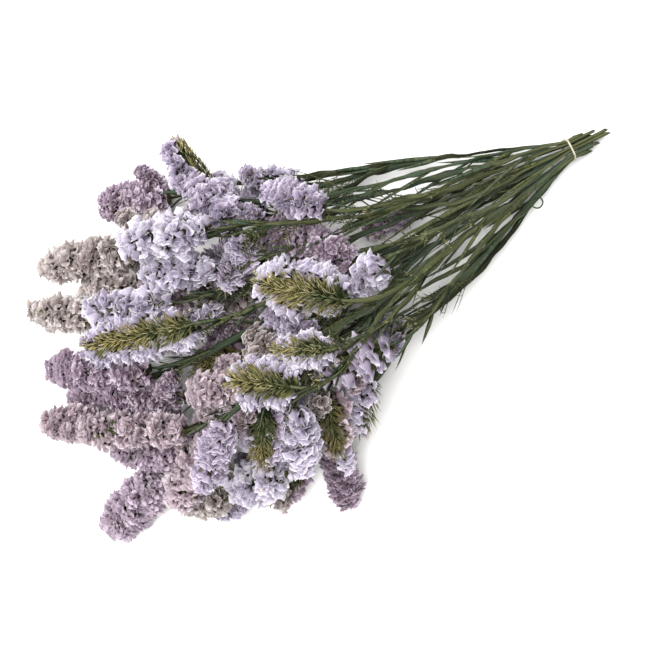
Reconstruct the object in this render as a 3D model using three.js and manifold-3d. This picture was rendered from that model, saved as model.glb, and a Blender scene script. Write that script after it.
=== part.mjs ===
// Dried statice: a tied bunch lying on its side, in millimetres, +Z up.
// The cut stems end towards +X and the flower heads fan out towards -X.
// A head is a one-sided spike: papery calyces stand on one face of a green twig, bracts on the other.

import * as THREE from 'three';
import { mergeVertices } from 'three/addons/utils/BufferGeometryUtils.js';
import Module from 'manifold-3d';

const wasm = await Module();
wasm.setup();

// Driving dimensions
const gap = 0.35; // clearance between neighbouring solids
const centre = new THREE.Vector2(21, 20.5); // middle of the bunch in plan, from the drawing's zero
const groundSize = 900;

// The tie: room and corner are its clearance and corner radius round the bundle, steps its facets a corner
const tie = { at: new THREE.Vector3(263, 40, 13.2), wide: 2, thick: 1.3, room: 0.75, corner: 1.5, steps: 2 };

// The bundle at the tie: two pressed stems, the pairs across a layer, the layers, and the slope of the stems.
// fan is how much of a leader's bearing its stem has there; the tails are longest in the middle
const bundle = { pair: 2.6, across: 6.5, up: 4.2, slope: 0.205, flattest: 0.05, steepest: 0.33, fan: 0.95 };
const tail = { middle: 42, outer: 20, uneven: 4, cut: 1.6 };

const stem = { radius: 1.7, wing: 2.3, atHead: 1.25, steps: 7, rise: 0.85 };
const branch = { radius: 1.3, wing: 2, steps: 4, turn: 3, lead: 90, spots: 60, ends: 4 };
const twig = { radius: 1.25, tip: 0.6, middle: 0.45, reach: 0.9 }; // places as shares of a head's length

// A route is a curve from its root to a head; it is bent by up to most, in steps, all round
const route = { leave: 0.4, arrive: 0.3, longest: 48, most: 40, step: 4, turn: 30, early: [0.2, 1] };
const sampleStep = 5; // along a route, when its room is measured

// A head's core, its radius a share of the head's width, the rest shares of its length.
// It keeps its radius until the last third and would vanish at vanish
const core = { radius: 0.085, start: 0.02, end: 0.95, firstRow: 0.05, rows: 0.85, taper: 2.2, vanish: 1.15 };

// A calyx: length, across and pitch are shares of a head's width; along and foot, shares of the rows' pitch
const calyx = { length: 0.42, across: 0.2, along: 0.45, dish: 0.3, pitch: 0.406, foot: 0.35 };
const stance = { lean: 28, sway: 2, turn: 66, zigzag: 0.25, smallest: 0.9, sizes: [1, 0.85, 0.7, 0.55, 0.4] };
const tipCalyx = { start: 0.9, across: 0.188, dish: 0.5, sizes: [1, 0.8, 0.6, 0.4, 0.3] };

// A pair of bracts: start, widest and end are places along its own stretch of twig
const bract = { pitch: 8, hiddenPitch: 20.8, wide: 8, ahead: 8, back: 2.4, shown: 1.2, taper: 0.35 };
const bractPlace = { start: 0.05, widest: 0.4, end: 0.98, sizes: [1, 0.75, 0.5] };

// The stems stand in three layers of six, and each two that are pressed together are one body
const layers = { upper: 1, middle: 0, lower: -1 };
const sides = ['far', 'mid', 'near'];

// Flower heads, in the order in which a stem carries them, its leader first.
// bearing: degrees from the tie, + towards +Y; reach: from the tie to the head's base, in plan
// height: of the base; aim: the way the head points, as a bearing; drop: of the tip below the base
// roll: how far the flowered face is turned from straight up, 180 facing down
const head = (bearing, reach, height, aim, drop, length, width, roll, tone) =>
  ({ bearing, reach, height, aim, drop, length, width, roll, tone });
const stems = {
  upper1: [head(11, 227, 98, 44, 10, 52, 32, 5, 'lilac')],
  upper2: [
    head(7, 324, 98, 24, 10, 61, 32, -15, 'ice'),
    head(12, 317, 118, 19, 10, 72, 40, 0, 'ice'),
  ],
  upper3: [
    head(1, 353, 104, 16, 8, 98, 41, -165, 'ice'),
    head(9, 289, 92, -34, 8, 45, 33, 30, 'lilac'),
    head(-2, 220, 74, 49, 14, 84, 46, 0, 'mauve'),
  ],
  upper4: [
    head(-7, 244, 122, 39, 6, 72, 50, 155, 'ice'),
    head(-5, 200, 104, -13, 16, 38, 30, 0, 'ice'),
  ],
  upper5: [
    head(-11, 373, 114, -44, 16, 61, 31, 0, 'lilac'),
    head(-13, 315, 122, 34, 8, 53, 44, 175, 'ice'),
    head(-12, 274, 118, 24, 8, 45, 33, -165, 'ice'),
  ],
  upper6: [
    head(-13, 345, 98, -60, 10, 49, 43, -170, 'lilac'),
    head(-16, 327, 94, -66, 12, 56, 32, -30, 'ice'),
    head(-19, 240, 92, 4, 8, 59, 43, 0, 'lilac'),
  ],
  middle1: [
    head(19, 307, 70, 77, -12, 55, 46, -60, 'lilac'),
    head(13, 303, 84, 80, -8, 45, 36, 0, 'lilac'),
  ],
  middle2: [head(13, 389, 58, 17, 18, 84, 38, 5, 'cream')],
  middle3: [
    head(5, 369, 86, 24, 10, 72, 29, 0, 'ice'),
    head(5, 339, 66, 27, 8, 56, 32, 0, 'blush'),
    head(3, 309, 54, -2, 10, 42, 37, 0, 'cream'),
  ],
  middle4: [
    head(-1, 406, 66, 27, 18, 95, 38, -25, 'mauve'),
    head(-9, 405, 84, 24, 14, 91, 33, 0, 'blush'),
    head(-9, 279, 82, 65, 8, 54, 33, -15, 'lilac'),
  ],
  middle5: [
    head(-9, 369, 66, -38, 20, 106, 41, 10, 'blush'),
    head(-9, 350, 90, 21, 12, 45, 36, 0, 'blush'),
    head(-12, 313, 70, 73, 8, 53, 43, 0, 'cream'),
  ],
  middle6: [
    head(-21, 366, 60, 0, 10, 59, 43, 0, 'ice'),
    head(-18, 303, 76, -75, 10, 53, 40, 175, 'blush'),
    head(-13, 292, 58, -31, 8, 46, 31, 20, 'lilac'),
    head(-21, 264, 54, -55, 12, 56, 38, 55, 'ice'),
  ],
  lower1: [
    head(20, 356, 16, 20, 6, 64, 42, 0, 'mauve'),
    head(17, 292, 38, 81, 8, 36, 28, -45, 'ice'),
    head(20, 239, 14, 39, 4, 42, 28, -20, 'ice'),
  ],
  lower2: [
    head(8, 434, 15.3, 29, 8, 71, 38, -40, 'cream'),
    head(9, 393, 42, 27, 8, 51, 38, 0, 'cream'),
    head(6, 148, 16, 2, 5, 48, 24, 0, 'mauve'),
  ],
  lower3: [head(-1, 455, 10, 17, 3, 45, 28, 0, 'mauve')],
  lower4: [
    head(-4, 467, 30, 27, 12, 66, 36, 0, 'blush'),
    head(-6, 398, 54, 30, 12, 77, 31, 0, 'mauve'),
    head(-5, 336, 50, 7, 12, 51, 36, 180, 'mauve'),
    head(-3, 306, 24, 8, 8, 57, 37, 0, 'mauve'),
  ],
  lower5: [
    head(-12, 456, 9.1, -16, 9, 80, 46, 0, 'mauve'),
    head(-12, 423, 42, 31, 10, 73, 33, 0, 'mauve'),
    head(-18, 423, 34, 12, 6, 44, 37, -10, 'cream'),
  ],
  lower6: [
    head(-20, 421, 9, 0, 3, 33, 29, 0, 'lilac'),
    head(-23, 369, 32, -15, 10, 40, 33, 180, 'mauve'),
    head(-24, 328, 16.5, -76, 13, 67, 34, 25, 'mauve'),
    head(-19, 218, 36, 2, 6, 32, 26, 0, 'lilac'),
  ],
};

const finish = {
  lilac: { color: 0xcbc2e2, roughness: 0.85 },
  ice: { color: 0xdfe2f4, roughness: 0.85 },
  cream: { color: 0xdcd2cf, roughness: 0.85 },
  blush: { color: 0xd0c2cf, roughness: 0.85 },
  mauve: { color: 0xb7a8c2, roughness: 0.85 },
  green: { color: 0x5f6a45, roughness: 0.8 },
  band: { color: 0xe9e1cc, roughness: 0.6 },
};

const xAxis = new THREE.Vector3(1, 0, 0);
const zAxis = new THREE.Vector3(0, 0, 1);
const radians = THREE.MathUtils.degToRad;
const clamp = THREE.MathUtils.clamp;

let seed = 29;
function random(low, high) {
  seed = (seed * 1664525 + 1013904223) % 4294967296;
  return low + (high - low) * seed / 4294967296;
}

// ---- Solids

function solidOf(geometry) {
  geometry.deleteAttribute('normal');
  geometry.deleteAttribute('uv');
  const merged = mergeVertices(geometry, 1e-5);
  const corners = merged.index.array;
  const triangles = [];
  for (let i = 0; i < corners.length; i += 3) {
    const [a, b, c] = [corners[i], corners[i + 1], corners[i + 2]];
    if (a !== b && b !== c && c !== a) triangles.push(a, b, c);
  }
  return new wasm.Manifold(new wasm.Mesh({
    numProp: 3,
    vertProperties: new Float32Array(merged.attributes.position.array),
    triVerts: new Uint32Array(triangles),
  }));
}

function geometryOf(solid) {
  const mesh = solid.getMesh();
  const geometry = new THREE.BufferGeometry();
  geometry.setAttribute('position', new THREE.BufferAttribute(new Float32Array(mesh.vertProperties), 3));
  geometry.setIndex(new THREE.BufferAttribute(new Uint32Array(mesh.triVerts), 1));
  geometry.computeVertexNormals();
  return geometry;
}

// One body: what fusing leaves loose is dropped, and so is the skin of any hollow that it seals
function fuse(pieces) {
  const whole = wasm.Manifold.union(pieces).simplify(0.02);
  return whole.decompose().sort((a, b) => b.volume() - a.volume())[0];
}

// A ring of a bar: its middle, the way it faces, and its half width and half height.
// ahead and back move its two side corners along the bar and towards its underside
function ring(at, along, radius, { up = zAxis, wide = radius, ahead = 0, back = 0, skew = 0 } = {}) {
  const across = along.clone().cross(up).normalize();
  const below = along.clone().cross(across).normalize();
  return { at, along, across, below, radius, wide, ahead, back, skew };
}

// A four-sided bar through its rings, its corners pointing sideways, up and down
function bar(rings) {
  const last = rings.length - 1;
  const geometry = new THREE.CylinderGeometry(1, 1, 1, 4, last);
  const position = geometry.attributes.position;
  const place = new THREE.Vector3();
  for (let i = 0; i < position.count; i++) {
    const one = rings[Math.round((0.5 - position.getY(i)) * last)];
    const side = position.getX(i);
    place.copy(one.at).addScaledVector(one.across, side * one.wide);
    place.addScaledVector(one.below, position.getZ(i) * one.radius + Math.abs(side) * one.back);
    place.addScaledVector(one.along, Math.abs(side) * one.ahead + side * one.skew);
    position.setXYZ(i, place.x, place.y, place.z);
  }
  return solidOf(geometry);
}

function ringsAlong(points, radii) {
  return points.map((point, i) => {
    const next = points[Math.min(i + 1, points.length - 1)];
    const along = next.clone().sub(points[Math.max(i - 1, 0)]).normalize();
    return ring(point, along, radii[i]);
  });
}

// A skin is a list of points and of triangles between them, all facing out
function addPoint(skin, point) {
  return skin.points.push(point) - 1;
}

function addQuad(skin, a, b, c, d) {
  skin.faces.push(a, b, c, a, c, d);
}

// Raises the cell inside a rim into a calyx: walls up to its mouth, and a dish sunk into the mouth
function addCalyx(skin, rim, mouth, heart) {
  const lip = mouth.map((point) => addPoint(skin, point));
  const middle = addPoint(skin, heart);
  rim.forEach((corner, i) => {
    const next = (i + 1) % rim.length;
    addQuad(skin, corner, rim[next], lip[next], lip[i]);
    skin.faces.push(lip[i], lip[next], middle);
  });
}

function skinSolid(skin) {
  const geometry = new THREE.BufferGeometry().setFromPoints(skin.points);
  return solidOf(geometry.setIndex(skin.faces));
}

// ---- What stands where, for keeping one node clear of the next

const strands = []; // routes with a radius
const obstacles = []; // small solids with their boxes

// The least room between a route and the strands of all but its own nodes; floor ends the search early
function roomAlong(points, radius, own, floor) {
  const samples = points.slice(2).flatMap((point, i) => {
    const count = Math.ceil(point.distanceTo(points[i + 1]) / sampleStep);
    return Array.from({ length: count }, (_, k) => points[i + 1].clone().lerp(point, (k + 1) / count));
  });
  const segment = new THREE.Line3();
  const spot = new THREE.Vector3();
  let room = Infinity;
  for (const strand of strands) {
    if (own.includes(strand.node)) continue;
    for (let i = 1; i < strand.points.length; i++) {
      segment.set(strand.points[i - 1], strand.points[i]);
      for (const sample of samples) {
        const apart = segment.closestPointToPoint(sample, true, spot).distanceTo(sample);
        room = Math.min(room, apart - radius - strand.radius);
        if (room <= floor) return room;
      }
    }
  }
  return room;
}

function boxOf(solid) {
  const { min, max } = solid.boundingBox();
  return new THREE.Box3(new THREE.Vector3(...min), new THREE.Vector3(...max));
}

function addObstacle(node, solid) {
  obstacles.push({ node, solid, box: boxOf(solid) });
}

function isClear(solid, node) {
  const box = boxOf(solid);
  return obstacles.every((other) => other.node === node || !other.box.intersectsBox(box)
    || other.solid.intersect(solid).isEmpty());
}

// ---- Flower heads

function wayOf(bearing) {
  return new THREE.Vector3(-Math.cos(radians(bearing)), Math.sin(radians(bearing)), 0);
}

const heads = [];
for (const [stemName, carried] of Object.entries(stems)) {
  for (const row of carried) {
    const base = tie.at.clone().addScaledVector(wayOf(row.bearing), row.reach).setZ(row.height);
    const level = Math.sqrt(row.length ** 2 - row.drop ** 2);
    const along = wayOf(row.aim).multiplyScalar(level).setZ(-row.drop).normalize();
    const across = along.clone().cross(zAxis).normalize();
    const face = across.clone().cross(along).applyAxisAngle(along, radians(row.roll));
    const name = `head_${String(heads.length + 1).padStart(2, '0')}`;
    const coreRadius = row.width * core.radius;
    heads.push({ ...row, name, stemName, base, along, face, coreRadius });
  }
}

function pointOn(one, share, lift = 0) {
  return one.base.clone().addScaledVector(one.along, one.length * share).addScaledVector(one.face, lift);
}

function liftOfCore(one) {
  return twig.radius + gap + one.coreRadius;
}

for (const one of heads) {
  const points = [core.start, core.end].map((share) => pointOn(one, share, liftOfCore(one)));
  const radii = [one.coreRadius, one.coreRadius];
  addObstacle(one.name, bar(ringsAlong(points, radii)));
  strands.push({ node: one.name, points, radius: one.coreRadius });
}

// ---- Stems

function stemNode(stemName) {
  const place = Number(stemName.at(-1)) - 1;
  return `stem_${stemName.slice(0, -1)}_${sides[Math.floor(place / 2)]}`;
}

const limbs = []; // every stem and branch, as the rings up to its head

function addLimb(node, one, rings) {
  addObstacle(node, bar([...rings, twigRing(one, twig.middle), twigRing(one, twig.reach)]));
  const points = [...rings.map((each) => each.at), pointOn(one, twig.reach)];
  strands.push({ node, points, radius: rings[1].radius });
  limbs.push({ node, one, rings });
}

// A ring of the twig under the head, squared to the flowered face
function twigRing(one, share, look = {}) {
  const up = one.face.clone().multiplyScalar(Math.abs(one.roll) > 90 ? -1 : 1);
  const radius = THREE.MathUtils.lerp(twig.radius, twig.tip, share / twig.reach);
  return ring(pointOn(one, share), one.along, radius, { up, ...look });
}

// Where a stem passes the tie: six across each layer, two and two pressed together
function slotOf(stemName) {
  const place = Number(stemName.at(-1)) - 1;
  const pairOffset = (place % 2 ? -0.5 : 0.5) * bundle.pair;
  const y = (1 - Math.floor(place / 2)) * bundle.across + pairOffset;
  return tie.at.clone().add(new THREE.Vector3(0, y, layers[stemName.slice(0, -1)] * bundle.up));
}

function routeCurve(from, fromWay, one, bend, early) {
  const span = from.distanceTo(one.base);
  const approach = Math.min(span * route.arrive, route.longest);
  const leave = from.clone().addScaledVector(fromWay, span * route.leave).addScaledVector(bend, early);
  const late = 1 - early / 2;
  const arrive = one.base.clone().addScaledVector(one.along, -approach).addScaledVector(bend, late);
  return new THREE.CubicBezierCurve3(from, leave, arrive, one.base);
}

// The straightest route that keeps clear of what is already there
function clearRoute(from, fromWay, one, steps, radius, node) {
  let best = { room: -Infinity };
  for (let size = 0; size <= route.most; size += route.step) {
    for (let turn = 0; turn < 360; turn += size ? route.turn : 360) {
      const bend = new THREE.Vector3(0, size, 0).applyAxisAngle(xAxis, radians(turn));
      for (const early of route.early) {
        const curve = routeCurve(from, fromWay, one, bend, early);
        const room = roomAlong(curve.getPoints(steps), radius, [node, one.name], best.room);
        if (room > gap) return curve;
        if (room > best.room) best = { room, curve };
      }
    }
  }
  return best.curve;
}

const leaders = new Map();

function growLeader(stemName) {
  const one = heads.find((each) => each.stemName === stemName);
  const node = stemNode(stemName);
  const slot = slotOf(stemName);
  const rise = (one.height - slot.z) / one.reach;
  const climb = clamp(rise * stem.rise, bundle.flattest, bundle.steepest);
  const way = wayOf(one.bearing * bundle.fan).setZ(climb).normalize();
  const curve = clearRoute(slot, way, one, stem.steps, stem.wing, node);
  const offset = Math.abs(slot.y - tie.at.y);
  const uneven = random(-tail.uneven, tail.uneven);
  const length = THREE.MathUtils.lerp(tail.middle, tail.outer, offset / bundle.across) + uneven;
  const end = slot.clone().add(new THREE.Vector3(length, 0, -bundle.slope * length));
  const points = curve.getPoints(stem.steps);
  const taper = points.map((_, i) => THREE.MathUtils.lerp(stem.radius, stem.atHead, i / stem.steps));
  const radii = [stem.radius, ...taper];
  const rings = ringsAlong([end, ...points], radii);
  rings[0].skew = tail.cut;
  for (const each of rings.slice(3, -2)) each.wide = stem.wing;
  addLimb(node, one, rings);
  leaders.set(stemName, curve);
}

function growBranch(one) {
  const node = stemNode(one.stemName);
  const leader = leaders.get(one.stemName);
  const spots = leader.getSpacedPoints(branch.spots);
  const apart = spots.map((spot) => spot.distanceTo(one.base));
  const sideways = Math.min(...apart);
  const stepLength = leader.getLength() / branch.spots;
  const back = Math.round((sideways * branch.turn + branch.lead) / stepLength);
  const at = clamp(apart.indexOf(sideways) - back, branch.ends, branch.spots - branch.ends);
  const way = leader.getTangentAt(at / branch.spots);
  const points = clearRoute(spots[at], way, one, branch.steps, branch.wing, node).getPoints(branch.steps);
  const radii = points.map((_, i) => THREE.MathUtils.lerp(branch.radius, twig.radius, i / branch.steps));
  const rings = ringsAlong(points, radii);
  for (const each of rings.slice(0, -2)) each.wide = branch.wing;
  addLimb(node, one, rings);
}

for (const stemName of Object.keys(stems)) growLeader(stemName);
for (const one of heads) {
  if (one !== heads.find((each) => each.stemName === one.stemName)) growBranch(one);
}

// Bracts in pairs along both edges of the twig, like the teeth of a saw that lean to its tip.
// They stand closer where the back of the head shows, and each pair is drawn in until it is clear.
function growBracts({ node, one, rings }) {
  const backShows = Math.abs(one.roll) > 90;
  const count = Math.round(one.length * twig.reach / (backShows ? bract.pitch : bract.hiddenPitch));
  const pitch = twig.reach / count;
  const edge = backShows ? -1 : 1;
  const all = [...rings.slice(0, -1), twigRing(one, 0)];
  for (let i = 0; i < count; i++) {
    const full = (backShows ? bract.shown : 1) * (1 - bract.taper * i / count);
    const pair = (size) => [
      twigRing(one, pitch * (i + bractPlace.start)),
      twigRing(one, pitch * (i + bractPlace.widest), {
        wide: bract.wide * size,
        ahead: bract.ahead * size,
        back: bract.back * size * edge,
      }),
      twigRing(one, pitch * (i + bractPlace.end)),
    ];
    const sizes = bractPlace.sizes.map((scale) => scale * full);
    const size = sizes.find((each) => isClear(bar(pair(each)), node));
    if (size) {
      addObstacle(node, bar(pair(size)));
      all.push(...pair(size).slice(0, 2));
    }
  }
  all.push(twigRing(one, twig.reach));
  return bar(all);
}

const greens = new Map();
for (const limb of limbs) {
  const pieces = greens.get(limb.node) ?? [];
  greens.set(limb.node, [...pieces, growBracts(limb)]);
}

// A spike: a slim core whose flowered face is all cells, three to a row, each raised into a calyx.
// The rows are turned to and fro, and a calyx is drawn in until it clears the other nodes.
const cellTurns = [-1.5, -0.5, 0.5, 1.5].map((step) => step * stance.turn);

function coreRing(skin, one, share, shift) {
  const middle = pointOn(one, share, liftOfCore(one));
  const radius = one.coreRadius * Math.min(1, core.taper * (core.vanish - share));
  return [...cellTurns.map((turn) => turn + shift), 180 + shift].map((turn) => {
    const out = one.face.clone().applyAxisAngle(one.along, radians(turn));
    return addPoint(skin, middle.clone().addScaledVector(out, radius));
  });
}

function growCalyx(skin, one, rim, turn, pitch) {
  const lean = radians(stance.lean + random(-stance.sway, stance.sway));
  const full = random(stance.smallest, 1);
  const out = one.face.clone().applyAxisAngle(one.along, radians(turn));
  const way = one.along.clone().multiplyScalar(Math.sin(lean)).addScaledVector(out, Math.cos(lean));
  const ahead = one.along.clone().multiplyScalar(Math.cos(lean)).addScaledVector(out, -Math.sin(lean));
  const across = one.along.clone().cross(out);
  const corners = rim.map((corner) => skin.points[corner]);
  const root = corners.reduce((sum, corner) => sum.add(corner), new THREE.Vector3()).divideScalar(4);
  const cup = (size, spare) => {
    const length = calyx.length * one.width * size + spare;
    const halfAcross = calyx.across * one.width * size + spare;
    const halfAlong = calyx.along * pitch * size + spare;
    const mouth = [[-1, -1], [-1, 1], [1, 1], [1, -1]].map(([u, v]) => root.clone()
      .addScaledVector(way, length)
      .addScaledVector(ahead, u * halfAlong)
      .addScaledVector(across, v * halfAcross));
    return [mouth, root.clone().addScaledVector(way, length * (1 - calyx.dish))];
  };
  const size = stance.sizes.map((scale) => scale * full).find((each) => {
    const probe = { points: [...corners], faces: [0, 2, 1, 0, 3, 2] };
    addCalyx(probe, [0, 1, 2, 3], ...cup(each, gap));
    return isClear(skinSolid(probe), one.name);
  });
  if (size) addCalyx(skin, rim, ...cup(size, 0));
  else addQuad(skin, ...rim);
}

// The calyx that ends a spike, as wide as the core's last ring lets it be
function growTip(skin, one, rim) {
  const fifth = 360 / rim.length;
  const cup = (size, spare) => {
    const reach = tipCalyx.across * one.width * size + spare;
    const share = THREE.MathUtils.lerp(tipCalyx.start, 1, size);
    const middle = pointOn(one, share, liftOfCore(one)).addScaledVector(one.along, spare);
    const mouth = rim.map((_, i) => {
      const out = one.face.clone().applyAxisAngle(one.along, radians(fifth * (i - 1.5)));
      return middle.clone().addScaledVector(out, reach);
    });
    return [mouth, middle.clone().addScaledVector(one.along, -reach * tipCalyx.dish)];
  };
  const size = tipCalyx.sizes.find((each) => {
    const probe = { points: rim.map((corner) => skin.points[corner]), faces: [0, 2, 1, 0, 3, 2, 0, 4, 3] };
    addCalyx(probe, [0, 1, 2, 3, 4], ...cup(each, gap));
    return isClear(skinSolid(probe), one.name);
  });
  addCalyx(skin, rim, ...cup(size ?? tipCalyx.sizes.at(-1), 0));
}

function spikeSolid(one) {
  const skin = { points: [], faces: [] };
  const rows = Math.max(2, Math.round(one.length * core.rows / (one.width * calyx.pitch)));
  const pitch = core.rows / rows;
  const foot = addPoint(skin, pointOn(one, core.start, liftOfCore(one)));
  let before = null;
  for (let row = 0; row < rows; row++) {
    const shift = (row % 2 ? 1 : -1) * stance.zigzag * stance.turn;
    const share = core.firstRow + pitch * row;
    const start = coreRing(skin, one, share, shift);
    const end = coreRing(skin, one, share + pitch * calyx.foot, shift);
    start.forEach((corner, i) => {
      const next = (i + 1) % start.length;
      const cell = [corner, start[next], end[next], end[i]];
      if (before) addQuad(skin, before[i], before[next], start[next], corner);
      else skin.faces.push(start[next], corner, foot);
      if (i < 3) growCalyx(skin, one, cell, (i - 1) * stance.turn + shift, pitch * one.length);
      else addQuad(skin, ...cell);
    });
    before = end;
  }
  growTip(skin, one, before);
  return skinSolid(skin);
}

for (const one of [...heads].sort((a, b) => b.height - a.height)) {
  one.solid = spikeSolid(one);
  addObstacle(one.name, one.solid);
}

// ---- The tie

// A flat band round the bundle, squared to the stems: its outline is a rectangle with round corners
function tieSolid() {
  const halfWide = bundle.across + bundle.pair / 2 + stem.radius + tie.room;
  const halfHigh = bundle.up + stem.radius + tie.room;
  const outline = (grow) => {
    const [w, h, r] = [halfWide + grow, halfHigh + grow, tie.corner + grow];
    const shape = new THREE.Shape();
    shape.moveTo(w, h - r);
    shape.absarc(w - r, h - r, r, 0, Math.PI / 2);
    shape.absarc(r - w, h - r, r, Math.PI / 2, Math.PI);
    shape.absarc(r - w, r - h, r, Math.PI, Math.PI * 1.5);
    shape.absarc(w - r, r - h, r, Math.PI * 1.5, Math.PI * 2);
    return shape;
  };
  const shape = outline(tie.thick);
  shape.holes.push(outline(0));
  const options = { depth: tie.wide, bevelEnabled: false, curveSegments: tie.steps };
  const geometry = new THREE.ExtrudeGeometry(shape, options).translate(0, 0, -tie.wide / 2);
  geometry.rotateX(Math.PI / 2).rotateZ(Math.PI / 2).rotateY(Math.atan(bundle.slope));
  geometry.translate(tie.at.x, tie.at.y, tie.at.z);
  return solidOf(geometry);
}

// ---- The bunch, cut flat where it rests on the ground

const block = new THREE.BoxGeometry(groundSize, groundSize, groundSize);
const ground = solidOf(block.translate(0, 0, -groundSize / 2));
const bunch = new THREE.Group();
bunch.position.set(-centre.x, -centre.y, 0);

function addMesh(name, pieces, look) {
  const mesh = new THREE.Mesh(
    geometryOf(fuse([fuse(pieces).subtract(ground)])),
    new THREE.MeshStandardMaterial({ ...finish[look], metalness: 0 }),
  );
  mesh.name = name;
  bunch.add(mesh);
}

for (const [node, pieces] of greens) addMesh(node, pieces, 'green');
for (const one of heads) addMesh(one.name, [one.solid], one.tone);
addMesh('tie', [tieSolid()], 'band');

export default bunch;
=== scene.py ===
# Dried statice: a tied bunch lying on its side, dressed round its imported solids.
# Places are in millimetres from the drawing's zero, as in the part's source, and meshes are in metres.

import math
from functools import reduce

import bpy
import numpy as np
from mathutils import Euler, Matrix


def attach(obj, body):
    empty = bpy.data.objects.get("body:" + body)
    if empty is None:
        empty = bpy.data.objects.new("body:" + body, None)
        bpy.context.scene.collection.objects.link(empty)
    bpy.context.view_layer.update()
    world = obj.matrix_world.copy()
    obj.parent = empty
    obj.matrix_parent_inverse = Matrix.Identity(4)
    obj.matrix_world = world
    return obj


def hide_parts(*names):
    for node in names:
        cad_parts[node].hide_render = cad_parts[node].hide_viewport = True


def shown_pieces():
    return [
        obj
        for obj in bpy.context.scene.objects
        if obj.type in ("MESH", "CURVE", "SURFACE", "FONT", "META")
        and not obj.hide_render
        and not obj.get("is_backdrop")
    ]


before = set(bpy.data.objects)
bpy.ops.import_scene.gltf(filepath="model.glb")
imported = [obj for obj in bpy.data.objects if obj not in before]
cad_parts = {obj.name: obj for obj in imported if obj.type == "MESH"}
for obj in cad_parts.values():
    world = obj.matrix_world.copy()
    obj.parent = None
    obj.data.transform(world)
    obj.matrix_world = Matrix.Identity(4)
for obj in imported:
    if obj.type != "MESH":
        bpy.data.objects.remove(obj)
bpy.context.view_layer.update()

# the bunch: where it is tied, and how its stems pass the tie
tieAt = np.array([263.0, 40.0, 13.2])
frameShift = np.array([21.0, 20.5, 0.0])  # from the drawing's zero to the middle of the bunch in plan
metre = 0.001
zAxis = np.array([0.0, 0.0, 1.0])

bundle = {
    "pair": 2.6, "across": 6.5, "up": 4.2,  # spacing of the stems at the tie
    "slope": 0.205, "flattest": 0.05, "steepest": 0.33, "rise": 0.85, "fan": 0.95,
    "tail": (42, 20), "uneven": 4,  # length of a tail in the middle and outside, and how far it varies
}
layers = {"upper": 1, "middle": 0, "lower": -1}
flanks = ["far", "mid", "near"]

# a stem or branch runs from its root to its head as straight as it can with gap to spare on the rest:
# it is bent by up to most, in steps, all round, and then runs on by twigReach of the head's length
routeForm = {
    "leave": 0.4, "arrive": 0.3, "longest": 48, "most": 40, "step": 4, "turn": 30, "early": (0.2, 1),
    "gap": 0.35, "sample": 5, "stemSteps": 7, "branchSteps": 4, "twigReach": 0.9, "tailMarks": 4,
    "marks": 160, "stemRadius": 1.7, "stemWing": 2.3, "branchRadius": 1.29, "branchWing": 2.0,
}
# where a branch leaves its leader: ahead of the nearest of the spots by turn times the distance, and lead
forkForm = {"turn": 3, "lead": 90, "spots": 60, "ends": 4, "marks": 200, "beside": 1e-4}
# the middle of a head, clear of the twig: its radius is a share of the width, its ends of the length
core = {"radius": 0.085, "start": 0.02, "end": 0.95, "clear": 1.6}

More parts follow.
